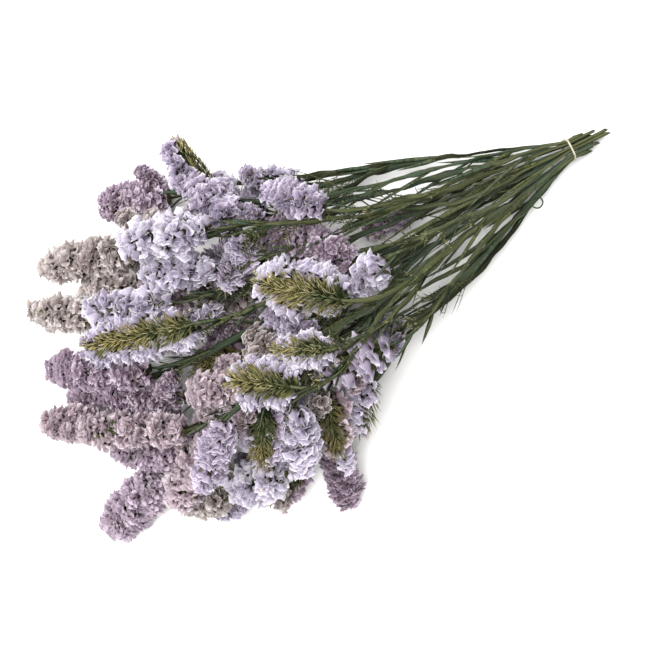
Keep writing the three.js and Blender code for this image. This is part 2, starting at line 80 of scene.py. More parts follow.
# one row a head, its stem's leader first
headMarks = ("bearing", "reach", "height", "aim", "drop", "length", "width", "roll", "tone")
stemHeads = {
    "upper1": [(11, 227, 98, 44, 10, 52, 32, 5, "lilac")],
    "upper2": [
        (7, 324, 98, 24, 10, 61, 32, -15, "ice"),
        (12, 317, 118, 19, 10, 72, 40, 0, "ice"),
    ],
    "upper3": [
        (1, 353, 104, 16, 8, 98, 41, -165, "ice"),
        (9, 289, 92, -34, 8, 45, 33, 30, "lilac"),
        (-2, 220, 74, 49, 14, 84, 46, 0, "mauve"),
    ],
    "upper4": [
        (-7, 244, 122, 39, 6, 72, 50, 155, "ice"),
        (-5, 200, 104, -13, 16, 38, 30, 0, "ice"),
    ],
    "upper5": [
        (-11, 373, 114, -44, 16, 61, 31, 0, "lilac"),
        (-13, 315, 122, 34, 8, 53, 44, 175, "ice"),
        (-12, 274, 118, 24, 8, 45, 33, -165, "ice"),
    ],
    "upper6": [
        (-13, 345, 98, -60, 10, 49, 43, -170, "lilac"),
        (-16, 327, 94, -66, 12, 56, 32, -30, "ice"),
        (-19, 240, 92, 4, 8, 59, 43, 0, "lilac"),
    ],
    "middle1": [
        (19, 307, 70, 77, -12, 55, 46, -60, "lilac"),
        (13, 303, 84, 80, -8, 45, 36, 0, "lilac"),
    ],
    "middle2": [(13, 389, 58, 17, 18, 84, 38, 5, "cream")],
    "middle3": [
        (5, 369, 86, 24, 10, 72, 29, 0, "ice"),
        (5, 339, 66, 27, 8, 56, 32, 0, "blush"),
        (3, 309, 54, -2, 10, 42, 37, 0, "cream"),
    ],
    "middle4": [
        (-1, 406, 66, 27, 18, 95, 38, -25, "mauve"),
        (-9, 405, 84, 24, 14, 91, 33, 0, "blush"),
        (-9, 279, 82, 65, 8, 54, 33, -15, "lilac"),
    ],
    "middle5": [
        (-9, 369, 66, -38, 20, 106, 41, 10, "blush"),
        (-9, 350, 90, 21, 12, 45, 36, 0, "blush"),
        (-12, 313, 70, 73, 8, 53, 43, 0, "cream"),
    ],
    "middle6": [
        (-21, 366, 60, 0, 10, 59, 43, 0, "ice"),
        (-18, 303, 76, -75, 10, 53, 40, 175, "blush"),
        (-13, 292, 58, -31, 8, 46, 31, 20, "lilac"),
        (-21, 264, 54, -55, 12, 56, 38, 55, "ice"),
    ],
    "lower1": [
        (20, 356, 16, 20, 6, 64, 42, 0, "mauve"),
        (17, 292, 38, 81, 8, 36, 28, -45, "ice"),
        (20, 239, 14, 39, 4, 42, 28, -20, "ice"),
    ],
    "lower2": [
        (8, 434, 15.3, 29, 8, 71, 38, -40, "cream"),
        (9, 393, 42, 27, 8, 51, 38, 0, "cream"),
        (6, 148, 16, 2, 5, 48, 24, 0, "mauve"),
    ],
    "lower3": [(-1, 455, 10, 17, 3, 45, 28, 0, "mauve")],
    "lower4": [
        (-4, 467, 30, 27, 12, 66, 36, 0, "blush"),
        (-6, 398, 54, 30, 12, 77, 31, 0, "mauve"),
        (-5, 336, 50, 7, 12, 51, 36, 180, "mauve"),
        (-3, 306, 24, 8, 8, 57, 37, 0, "mauve"),
    ],
    "lower5": [
        (-12, 456, 9.1, -16, 9, 80, 46, 0, "mauve"),
        (-12, 423, 42, 31, 10, 73, 33, 0, "mauve"),
        (-18, 423, 34, 12, 6, 44, 37, -10, "cream"),
    ],
    "lower6": [
        (-20, 421, 9, 0, 3, 33, 29, 0, "lilac"),
        (-23, 369, 32, -15, 10, 40, 33, 180, "mauve"),
        (-24, 328, 16.5, -76, 13, 67, 34, 25, "mauve"),
        (-19, 218, 36, 2, 6, 32, 26, 0, "lilac"),
    ],
}


def unit(vector):
    return vector / np.linalg.norm(vector)


def units(vectors):
    return vectors / np.linalg.norm(vectors, axis=1)[:, None]


def lerp(start, end, share):
    return start + (end - start) * share


def roundTurn(count):
    # even angles all round
    return np.arange(count) / count * 2 * math.pi


def spun(angles, first, second):
    # directions at angles from the first to the second
    return np.cos(angles)[..., None] * first + np.sin(angles)[..., None] * second


def either(random, most, count=None):
    # even random values, as much below zero as above it
    return random.uniform(-most, most, count)


def wayOf(bearing):
    angle = math.radians(bearing)
    return np.array([-math.cos(angle), math.sin(angle), 0.0])


def faceOf(along, roll):
    # the way that a spike faces: as far up as it can, then rolled round its own axis
    across = unit(np.cross(along, zAxis))
    return turned(np.cross(across, along), along, roll)


def turned(vector, axis, degrees):
    turn = Matrix.Rotation(math.radians(degrees), 3, axis.tolist())
    return np.array(turn) @ vector


def liftOf(width):
    # from the twig to the middle of the spike
    return core["clear"] + core["radius"] * width


def makeHeads():
    heads = []
    for stemName, rows in stemHeads.items():
        for row in rows:
            one = dict(zip(headMarks, row))
            base = tieAt + wayOf(one["bearing"]) * one["reach"]
            base[2] = one["height"]
            level = wayOf(one["aim"]) * math.sqrt(one["length"] ** 2 - one["drop"] ** 2)
            along = unit(level - zAxis * one["drop"])
            face = faceOf(along, one["roll"])
            heads.append({
                **one, "number": len(heads) + 1, "stemName": stemName, "node": stemNode(stemName),
                "leads": row is rows[0], "base": base, "along": along, "face": face,
                "side": np.cross(along, face), "lift": liftOf(one["width"]),
            })
    return heads


def layerOf(stemName):
    return stemName[:-1]


def placeOf(stemName):
    return int(stemName[-1]) - 1


def stemNode(stemName):
    return f"stem_{layerOf(stemName)}_{flanks[placeOf(stemName) // 2]}"


def slotOf(stemName):
    # where a stem passes the tie
    place = placeOf(stemName)
    pairOffset = (-0.5 if place % 2 else 0.5) * bundle["pair"]
    y = (1 - place // 2) * bundle["across"] + pairOffset
    return tieAt + np.array([0.0, y, layers[layerOf(stemName)] * bundle["up"]])


def bezier(corners, shares):
    a, b, c, d = (np.asarray(corner)[None, :] for corner in corners)
    t = np.asarray(shares)[:, None]
    s = 1 - t
    return a * s ** 3 + 3 * b * s ** 2 * t + 3 * c * s * t ** 2 + d * t ** 3


def travelled(points):
    # how far along a line each of its points is
    return np.concatenate([[0], np.cumsum(np.linalg.norm(np.diff(points, axis=0), axis=1))])


def resample(points, spacing):
    steps = travelled(points)
    marks = np.linspace(0, steps[-1], max(3, round(steps[-1] / spacing)) + 1)
    return np.stack([np.interp(marks, steps, points[:, axis]) for axis in range(3)], axis=1)


def evenly(corners, shares):
    # places at even shares of the length of a curve
    marks = np.linspace(0, 1, forkForm["marks"] + 1)
    steps = travelled(bezier(corners, marks))
    return bezier(corners, np.interp(np.asarray(shares) * steps[-1], steps, marks)), steps[-1]


strands = []  # what is already there: its node, points and radius


def addStrandRoom(node, points, radius):
    strands.append({"node": node, "points": np.array(points), "radius": radius})


def roomAlong(points, radius, own):
    # the least room between a route and the strands of all but its own nodes
    samples = []
    for before, after in zip(points[1:-1], points[2:]):
        count = math.ceil(np.linalg.norm(after - before) / routeForm["sample"])
        samples.extend(lerp(before, after, (step + 1) / count) for step in range(count))
    samples = np.array(samples)[:, None]
    others = [strand for strand in strands if strand["node"] not in own]
    starts = np.concatenate([strand["points"][:-1] for strand in others])
    spans = np.concatenate([np.diff(strand["points"], axis=0) for strand in others])
    radii = np.concatenate([np.full(len(strand["points"]) - 1, strand["radius"]) for strand in others])
    shares = np.einsum("ijk,jk->ij", samples - starts, spans) / np.einsum("jk,jk->j", spans, spans)
    closest = starts + np.clip(shares, 0, 1)[:, :, None] * spans
    return float((np.linalg.norm(samples - closest, axis=2) - radii).min() - radius)


def routeCorners(start, startWay, one, bend, early):
    form = routeForm
    span = np.linalg.norm(start - one["base"])
    approach = min(span * form["arrive"], form["longest"])
    leave = start + startWay * span * form["leave"] + bend * early
    arrive = one["base"] - one["along"] * approach + bend * (1 - early / 2)
    return [start, leave, arrive, one["base"]]


def clearRoute(start, startWay, one, steps, radius):
    form = routeForm
    best, bestRoom = None, -math.inf
    for size in range(0, form["most"] + 1, form["step"]):
        for turn in range(0, 360, form["turn"] if size else 360):
            angle = math.radians(turn)
            bend = np.array([0.0, math.cos(angle), math.sin(angle)]) * size
            for early in form["early"]:
                corners = routeCorners(start, startWay, one, bend, early)
                points = bezier(corners, np.linspace(0, 1, steps + 1))
                room = roomAlong(points, radius, (one["node"], f"head {one['number']}"))
                if room > form["gap"]:
                    return corners
                if room > bestRoom:
                    best, bestRoom = corners, room
    return best


def growLeader(one, tailShare):
    form, start = routeForm, slotOf(one["stemName"])
    rise = (one["height"] - start[2]) / one["reach"]
    climb = np.clip(rise * bundle["rise"], bundle["flattest"], bundle["steepest"])
    startWay = unit(wayOf(one["bearing"] * bundle["fan"]) + zAxis * climb)
    corners = clearRoute(start, startWay, one, form["stemSteps"], form["stemWing"])
    outside = abs(start[1] - tieAt[1]) / bundle["across"]
    length = lerp(*bundle["tail"], outside) + lerp(-bundle["uneven"], bundle["uneven"], tailShare)
    tail = start + np.array([1, 0, -bundle["slope"]]) * length
    addLimb(one, [tail, *bezier(corners, np.linspace(0, 1, form["stemSteps"] + 1))], form["stemRadius"])
    tailPoints = [lerp(tail, start, mark / form["tailMarks"]) for mark in range(form["tailMarks"])]
    one["route"] = np.concatenate([tailPoints, bezier(corners, np.linspace(0, 1, form["marks"]))])
    return corners


def growBranch(one, leader):
    form, fork = routeForm, forkForm
    spots, length = evenly(leader, np.linspace(0, 1, fork["spots"] + 1))
    apart = np.linalg.norm(spots - one["base"], axis=1)
    back = math.floor((apart.min() * fork["turn"] + fork["lead"]) / (length / fork["spots"]) + 0.5)
    at = int(np.clip(int(apart.argmin()) - back, fork["ends"], fork["spots"] - fork["ends"]))
    share = at / fork["spots"]
    beside, _ = evenly(leader, [share - fork["beside"], share + fork["beside"]])
    way = unit(beside[1] - beside[0])
    corners = clearRoute(spots[at], way, one, form["branchSteps"], form["branchWing"])
    addLimb(one, bezier(corners, np.linspace(0, 1, form["branchSteps"] + 1)), form["branchRadius"])
    one["route"] = bezier(corners, np.linspace(0, 1, form["marks"]))


def addLimb(one, points, radius):
    twigEnd = one["base"] + one["along"] * one["length"] * routeForm["twigReach"]
    addStrandRoom(one["node"], [*points, twigEnd], radius)


def tailShares(seed=29, factor=1664525, step=1013904223, size=4294967296):
    # the same even draw as the part's own
    while True:
        seed = (seed * factor + step) % size
        yield seed / size


heads = makeHeads()
for one in heads:
    foot = one["base"] + one["face"] * one["lift"]
    ends = [foot + one["along"] * one["length"] * core[end] for end in ("start", "end")]
    addStrandRoom(f"head {one['number']}", ends, core["radius"] * one["width"])
leaders, draws = {}, tailShares()
for one in heads:
    if one["leads"]:
        leaders[one["stemName"]] = growLeader(one, next(draws))
for one in heads:
    if not one["leads"]:
        growBranch(one, leaders[one["stemName"]])
print("routes: done")


# meshes are gathered as copies of small forms, and each gather becomes one piece
pointMarks = ("along", "around", "tint")  # how far along and round a form a point is, and how aged or dark


def newGather():
    lists = ("points", "corners", "sizes", "looks", "smooth", *pointMarks)
    return {"count": 0, **{name: [] for name in lists}}


def addCopies(gather, points, faces, look=0, along=0.0, around=0.0, tint=0.5, smooth=True):
    # points: copies x points x 3; faces: arrays of corners, one array for each number of sides
    points = np.asarray(points, float)
    if points.ndim == 2:
        points = points[None]
    copies, each = points.shape[:2]
    starts = gather["count"] + np.arange(copies) * each
    for group in faces:
        corners = group[None] + starts[:, None, None]
        gather["corners"].append(corners.reshape(-1))
        for name, value in (("sizes", group.shape[1]), ("looks", look), ("smooth", smooth)):
            gather[name].append(np.full(copies * len(group), value))
    gather["points"].append(points.reshape(-1, 3))
    for name, value in zip(pointMarks, (along, around, tint)):
        value = np.asarray(value, float)
        if value.shape == (copies,) and copies != each:
            value = value[:, None]
        gather[name].append(np.broadcast_to(value, (copies, each)).reshape(-1))
    gather["count"] += copies * each


floorRoom = 1.5  # what hangs lower than this is pressed on the ground


def makePiece(name, gather, materials, slotName, *nodes):
    points = np.concatenate(gather["points"])
    low = floorRoom * np.exp(np.minimum(points[:, 2] / floorRoom, 1) - 1)
    points[:, 2] = np.where(points[:, 2] < floorRoom, low, points[:, 2])
    points = (points - frameShift) * metre
    corners = np.concatenate(gather["corners"])
    sizes = np.concatenate(gather["sizes"])
    mesh = bpy.data.meshes.new(name)
    mesh.vertices.add(len(points))
    mesh.vertices.foreach_set("co", points.astype(np.float32).ravel())
    mesh.loops.add(len(corners))
    mesh.loops.foreach_set("vertex_index", corners.astype(np.int32))
    mesh.polygons.add(len(sizes))
    starts = np.concatenate([[0], np.cumsum(sizes)[:-1]])
    mesh.polygons.foreach_set("loop_start", starts.astype(np.int32))
    mesh.polygons.foreach_set("material_index", np.concatenate(gather["looks"]).astype(np.int32))
    mesh.polygons.foreach_set("use_smooth", np.concatenate(gather["smooth"]))
    for mark in pointMarks:
        values = mesh.attributes.new(mark, "FLOAT", "POINT")
        values.data.foreach_set("value", np.concatenate(gather[mark]).astype(np.float32))
    for material in materials:
        mesh.materials.append(material)
    mesh.update(calc_edges=True)
    piece = bpy.data.objects.new(name, mesh)
    bpy.context.scene.collection.objects.link(piece)
    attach(piece, "root")
    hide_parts(*nodes)


tubes = {}  # faces of tubes, by their numbers of rings and sides


def tubeFaces(count, sides):
    key = (count, sides)
    if key not in tubes:
        ring = np.arange(count - 1)[:, None] * sides
        side = np.arange(sides)[None, :]
        after = (side + 1) % sides
        quads = np.stack([ring + side, ring + after, ring + sides + after, ring + sides + side], axis=-1)
        tubes[key] = quads.reshape(-1, 4)
    return tubes[key]


def closedTube(count, sides):
    # with a face at each end
    ends = [np.arange(sides)[::-1][None], (np.arange(sides) + (count - 1) * sides)[None]]
    return [tubeFaces(count, sides), *ends]


def addTube(gather, rings, line, look, tint):
    # rings: their number x sides x 3, round the points of a line
    count, sides = rings.shape[:2]
    along = np.repeat(travelled(line) * metre, sides)
    around = np.tile(np.arange(sides) / sides, count)
    addCopies(gather, rings.reshape(-1, 3), closedTube(count, sides), look, along, around, tint)


def framesAlong(points):
    # tangents, and sideways and upward directions carried along without twist
    ways = units(np.gradient(points, axis=0))
    up, ups = zAxis, []
    for way in ways:
        up = unit(up - way * (up @ way))
        ups.append(up)
    ups = np.array(ups)
    return ways, np.cross(ways, ups), ups


def nearestOn(line, spot):
    # the point of a line that is nearest to a spot
    return line[np.linalg.norm(line - spot, axis=1).argmin()]


def bent(start, corner, end, count):
    # points on a plain arc from start to end, drawn to corner
    share = np.linspace(0, 1, count)[:, None]
    return start * (1 - share) ** 2 + corner * 2 * share * (1 - share) + end * share ** 2


def wave(random, positions, length, count=3, finer=0.7, lower=0.6):
    # a smooth random line between -1 and 1: waves that get finer and lower by these steps
    total = np.zeros(len(positions))
    for step in range(count):
        phase = random.uniform(0, 2 * math.pi)
        turns = positions * 2 * math.pi / (length / (1 + finer * step))
        total += np.sin(turns + phase) / (1 + lower * step)
    return total / sum(1 / (1 + lower * step) for step in range(count))


# shader groups that several finishes share
def newGroup(name, inputs, outputs):
    group = bpy.data.node_groups.new(name, "ShaderNodeTree")
    for label, value in inputs.items():
        socket = group.interface.new_socket(label, in_out="INPUT", socket_type="NodeSocketFloat")
        socket.default_value = value
    for label in outputs:
        group.interface.new_socket(label, in_out="OUTPUT", socket_type="NodeSocketFloat")
    return group, group.nodes.new("NodeGroupInput"), group.nodes.new("NodeGroupOutput")


def addNode(tree, kind, inputs=None, **values):
    # inputs: name or number -> an output socket, or a value
    node = tree.nodes.new(kind)
    for key, value in values.items():
        setattr(node, key, value)
    for key, value in (inputs or {}).items():
        if isinstance(value, bpy.types.NodeSocket):
            tree.links.new(value, node.inputs[key])
        else:
            node.inputs[key].default_value = value
    return node


def attributeOf(tree, name):
    return addNode(tree, "ShaderNodeAttribute", attribute_name=name).outputs["Fac"]


def objectPlace(tree):
    return addNode(tree, "ShaderNodeTexCoord").outputs["Object"]


def mathNode(tree, operation, first, second=0.0):
    return addNode(tree, "ShaderNodeMath", {0: first, 1: second}, operation=operation).outputs[0]


def times(tree, first, second):
    return mathNode(tree, "MULTIPLY", first, second)


def plus(tree, first, second):
    return mathNode(tree, "ADD", first, second)


def spread(tree, value, low, high, start=0.0, end=1.0):
    # from start at low to end at high, softly
    inputs = {0: value, 1: low, 2: high, 3: start, 4: end}
    return addNode(tree, "ShaderNodeMapRange", inputs, interpolation_type="SMOOTHSTEP").outputs[0]


def srgb(text):
    # a colour written as on a paint card, in the renderer's own linear values
    parts = [int(text[i:i + 2], 16) / 255 for i in (0, 2, 4)]
    return (*[part / 12.92 if part < 0.04045 else ((part + 0.055) / 1.055) ** 2.4 for part in parts], 1.0)


def mixColor(tree, share, first, second):
    first, second = (srgb(color) if isinstance(color, str) else color for color in (first, second))
    return addNode(tree, "ShaderNodeMix", {0: share, 6: first, 7: second}, data_type="RGBA").outputs[2]


tissueForm = {"detail": (3.0, 4.0), "roughness": 0.65, "blotches": (0.3, 0.7)}


def makeTissue():
    # dried plant tissue: blotches, and fine crumple as a height
    form = tissueForm
    inputs = {"Blotch Scale": 60.0, "Crumple Scale": 900.0}
    group, given, made = newGroup("driedTissue", inputs, ("Blotch", "Height"))
    place = objectPlace(group)
    inputs = [{"Vector": place, "Scale": given.outputs[at], "Detail": form["detail"][at]} for at in (0, 1)]
    blotch = addNode(group, "ShaderNodeTexNoise", inputs[0])
    crumple = addNode(group, "ShaderNodeTexNoise", {**inputs[1], "Roughness": form["roughness"]})
    group.links.new(spread(group, blotch.outputs[0], *form["blotches"]), made.inputs[0])
    group.links.new(crumple.outputs[0], made.inputs[1])
    return group


fibreForm = {"apart": 90.0, "detail": 3.0, "roughness": 0.6, "streaks": (0.32, 0.68)}


def makeFibre():
    # lines that run lengthwise, from the marks that each piece carries
    form = fibreForm
    group, given, made = newGroup("lengthwiseFibre", {"Lines": 14.0, "Stretch": 3.0}, ("Streak", "Height"))
    around, along, tint = (attributeOf(group, name) for name in ("around", "along", "tint"))
    across = times(group, around, given.outputs[0])
    lengthwise = times(group, along, given.outputs[1])
    apart = times(group, tint, form["apart"])
    place = addNode(group, "ShaderNodeCombineXYZ", {0: across, 1: lengthwise, 2: apart}).outputs[0]
    inputs = {"Vector": place, "Scale": 1.0, "Detail": form["detail"], "Roughness": form["roughness"]}
    fine = addNode(group, "ShaderNodeTexNoise", inputs)
    group.links.new(spread(group, fine.outputs[0], *form["streaks"]), made.inputs[0])
    group.links.new(fine.outputs[0], made.inputs[1])
    return group


driedTissue, lengthwiseFibre = makeTissue(), makeFibre()


def tissueOf(tree, blotchScale, crumpleScale):
    inputs = {"Blotch Scale": blotchScale, "Crumple Scale": crumpleScale}
    node = addNode(tree, "ShaderNodeGroup", inputs, node_tree=driedTissue)
    return node.outputs["Blotch"], node.outputs["Height"]


def fibreOf(tree, lines, stretch):
    inputs = {"Lines": lines, "Stretch": stretch}
    node = addNode(tree, "ShaderNodeGroup", inputs, node_tree=lengthwiseFibre)
    return node.outputs["Streak"], node.outputs["Height"]


def newMaterial(name):
    material = bpy.data.materials.new(name)
    material.use_nodes = True
    tree = material.node_tree
    tree.nodes.clear()
    return material, tree


shine = 0.08  # of everything dried


def addSkin(tree, color, height, form):
    # rough, with a bump, and with the share of light that comes through it if it is thin
    inputs = {"Height": height, "Strength": 1.0, "Distance": form["depth"]}
    bump = addNode(tree, "ShaderNodeBump", inputs).outputs[0]
    inputs = {"Base Color": color, "Roughness": form["roughness"], "Normal": bump}
    shader = addNode(tree, "ShaderNodeBsdfPrincipled", {**inputs, "Specular IOR Level": shine}).outputs[0]
    if "through" in form:
        glow = addNode(tree, "ShaderNodeBsdfTranslucent", {"Color": color, "Normal": bump}).outputs[0]
        shader = addNode(tree, "ShaderNodeMixShader", {0: form["through"], 1: shader, 2: glow}).outputs[0]
    addNode(tree, "ShaderNodeOutputMaterial", {0: shader})


def markOf(tree, marks, name):
    # made already, or carried by the piece
    if name not in marks:
        marks[name] = attributeOf(tree, name)
    return marks[name]


def maskOf(tree, mark, share):
    # a share of a mark, or the mark spread from low to high
    return spread(tree, mark, *share) if isinstance(share, tuple) else times(tree, mark, share)


def makeFinish(name, form, tones):
    material, tree = newMaterial(name)
    marks = {}
    marks["blotch"], height = tissueOf(tree, *form["tissue"])
    if "fibre" in form:
        marks["streak"], fibre = fibreOf(tree, *form["fibre"])
        crumpleShare, fibreShare = form["heights"]
        height = plus(tree, times(tree, height, crumpleShare), times(tree, fibre, fibreShare))
    if "wornAndShade" in form:
        parts = [times(tree, markOf(tree, marks, mark), share) for mark, share in form["wornAndShade"].items()]
        marks["wornAndShade"] = reduce(lambda first, second: plus(tree, first, second), parts)
    if "edges" in form:
        turns = times(tree, markOf(tree, marks, "around"), form["edges"] * math.pi)
        marks["edge"] = mathNode(tree, "ABSOLUTE", mathNode(tree, "SINE", turns))
    color = tones.get(form["color"], form["color"])
    for coat, masks in form["coats"]:
        shares = [maskOf(tree, markOf(tree, marks, mark), share) for mark, share in masks.items()]
        share = reduce(lambda first, second: times(tree, first, second), shares)
        color = mixColor(tree, share, color, tones.get(coat, coat))
    addSkin(tree, color, height, form)
    return material


# a finish is a first color and coats over it, each laid on by marks: by a share of a mark, or from where
# to where on it and how much; worn is a mark made of others, heights are the shares of crumple and fibre
papers = {  # limb of the calyx, its aged tone, its rim, and its throat
    "lilac": ("d0c5dc", "aa9eb8", "efebf5", "9a8c9e"),
    "ice": ("dfdaec", "bdb4d0", "f8f6fb", "a99eaa"),
    "cream": ("d4cccc", "b2a6a8", "ece8e7", "93817a"),
    "blush": ("d2c2cb", "ae9aa6", "e9e1e7", "927c84"),
    "mauve": ("c9b6c8", "9f8a9f", "e1d6e3", "846e7d"),
}
paperFinish = {
    "tissue": (70.0, 650.0), "fibre": (26.0, 1.2), "heights": (1.0, 0.6), "roughness": 0.85,
    "depth": 0.0002, "through": 0.42, "wornAndShade": {"blotch": 0.3, "tint": 1.0}, "color": "limb",
    "coats": [
        # the aged tone and the dark 5b4d50 follow wear and age, and on the heads set highest in the table
        # of ages they are painted shade
        ("aged", {"wornAndShade": (0.2, 1.0)}), ("rim", {"wornAndShade": (0.45, -0.1, 0.0, 0.7)}),
        ("5b4d50", {"wornAndShade": (0.8, 1.4, 0.0, 0.75)}), ("rim", {"along": (0.88, 1.0)}),
        # down the funnel the throat tone, then nearly black 2c2818 at the foot: partly the tube's own
        # colour, partly painted shade between the calyces
        ("throat", {"streak": 0.5}), ("throat", {"along": (0.86, 0.6, 0.0, 0.6)}),
        ("2c2818", {"along": (0.62, 0.4)}),
    ],
}
stemFinish = {  # olive, blue-green and nearly black by its tint, the lower stems nearly black as painted shade; pale at the thin edges of two wings, partly a painted highlight
    "tissue": (28.0, 500.0), "fibre": (26.0, 30.0), "heights": (0.5, 1.0), "roughness": 0.7,
    "depth": 0.0006, "edges": 2, "color": "5e6442",
    "coats": [
        ("4b5b4c", {"tint": (0.0, 0.5)}), ("12160a", {"tint": (0.5, 0.95)}), ("171d0d", {"streak": 0.8}),
        # the pale coat at the wing edges is partly a painted highlight
        ("5c5c42", {"blotch": 0.35}), ("858c70", {"edge": (0.25, 0.0, 0.0, 0.45)}),
    ],
}
bractFinish = {  # green near the foot of a head, straw towards its tip and at the tip of each bract
    "tissue": (55.0, 900.0), "fibre": (8.0, 1.5), "heights": (1.0, 1.0), "roughness": 0.75, "depth": 0.0004,
    "wornAndShade": {"blotch": 0.3, "tint": 0.35, "around": 0.6}, "color": "35432b",
    "coats": [
        ("8f8350", {"wornAndShade": (0.25, 1.0)}), ("2f351a", {"streak": 0.5}),
        # nearly black at the root of each blade: painted shade between the blades, which the hearts and the
        # calyx cups take too
        ("20260f", {"along": (0.4, 0.05, 0.0, 0.8)}),
        ("cdbf98", {"along": (0.4, 1.0), "wornAndShade": (0.0, 0.8, 0.25, 0.95)}),
    ],
}
corollaFinish = {
    "tissue": (160.0, 1200.0), "roughness": 0.8, "depth": 0.0004, "color": "d6cdbd",
    "coats": [("a18d70", {"blotch": 0.7}), ("6e542c", {"along": (0.35, 0.0)})],
}
bandFinish = {
    "tissue": (200.0, 2500.0), "roughness": 0.5, "depth": 0.0002, "color": "b6b3a1",
    "coats": [("98937c", {"blotch": 0.5})],
}

paper = {}
for tone, colors in papers.items():
    tones = dict(zip(("limb", "aged", "rim", "throat"), colors))
    paper[tone] = makeFinish(f"paper_{tone}", paperFinish, tones)
stemGreen = makeFinish("stem_green", stemFinish, {})
bractStraw = makeFinish("bract_straw", bractFinish, {})
dryCorolla = makeFinish("dry_corolla", corollaFinish, {})
bandRubber = makeFinish("band_rubber", bandFinish, {})
print("finishes: done")


# winged stems; looks of the greens: 0 is stem green, 1 is bract straw
stemForm = {
    "spacing": 5, "radius": 1.3, "branchRadius": 1.05, "atHead": 0.9, "cut": (0.8, 2.2),
    "wing": (0.8, 2.7), "third": 1.1, "twist": 85, "twistLength": 260, "lie": 35,
    "wingWaves": (0.75, 0.35, 70), "thirdWaves": (0.5, 0.5, 90),  # usual, varied, how often
    "ripple": 0.45, "rippleLengths": (11, 13), "backWing": 0.3, "wingEnds": 30, "leastWing": 0.15,
    "bandRoom": (12, 30), "band": (8, 0.12), "tail": (8, 0.55), "branchFoot": (0.3, 40),  # small wings
    "sway": 2.2, "swayLength": 200, "kink": 0.8, "kinkLength": 40, "level": (0.2, 1, 0), "freeEnds": 6,
    "straight": (10, 60),  # before the tie it doesn't sway, and how soon it does
    "twig": (0.04, 0.9, 9), "twigThin": (0.9, 0.4),  # in a head: start, end and points, and radius
    # the layer term makes the lower stems darker: painted shade deep in the pile
    "shade": 0.5, "paintedShadeByLayer": 0.38, "shades": 0.3,
}
# the section of a stem, all round from the edge of one wing: shares of wing, of radius across, of radius up
stemSection = [
    (1, 1.0, 0.1), (0.12, 0.95, 0.3), (0, 0.55, 0.8), (0, 0, 1.0), (0, -0.55, 0.8), (-0.12, -0.95, 0.3),
    (-1, -1.0, -0.1), (-0.12, -0.95, -0.35), (0, -0.5, -0.8), (0, 0, -0.95), (0, 0.5, -0.8),
    (0.12, 0.95, -0.35),
]
ridge = 3  # the place of the section's top, which the third wing lifts


def toneAndShadeOf(one, random):
    # 0 olive, 0.5 blue-green, 1 nearly black; the lower stems are painted darker, as painted shade deep in
    # the pile
    middle = stemForm["shade"] - stemForm["paintedShadeByLayer"] * layers[layerOf(one["stemName"])]
    return middle + either(random, stemForm["shades"])


def backShows(one):
    return abs(one["roll"]) > 90


def swayed(line, random):
    # the line of a stem, bent softly between its ends but straight through the tie
    form = stemForm
    share = np.linspace(0, 1, len(line))[:, None]
    before, soon = form["straight"]
    free = np.minimum(1, form["freeEnds"] * share * (1 - share))
    free = free * np.clip((tieAt[0] - before - line[:, :1]) / soon, 0, 1)
    marks = np.arange(len(line)) * form["spacing"]
    for aside in (np.array(form["level"]), zAxis):
        sway = form["sway"] * wave(random, marks, form["swayLength"])
        sway = sway + form["kink"] * wave(random, marks, form["kinkLength"], 2)
        line = line + free * sway[:, None] * aside
    return line


def wingSizes(one, line, steps):
    # how much of its wings a stem has: hardly any under the band, little on its tail or at a branch's foot
    form = stemForm
    if not one["leads"]:
        least, length = form["branchFoot"]
        return np.clip(least + steps / length, 0, 1)
    room, soon = form["bandRoom"]
    sizes = np.clip((np.linalg.norm(line - tieAt, axis=1) - room) / soon, 0, 1)
    past = line[:, 0] - tieAt[0]
    (tailFrom, onTail), (bandWide, underBand) = form["tail"], form["band"]
    sizes = np.where(past > tailFrom, onTail, sizes)
    return np.where(np.abs(past) < bandWide, underBand, sizes)


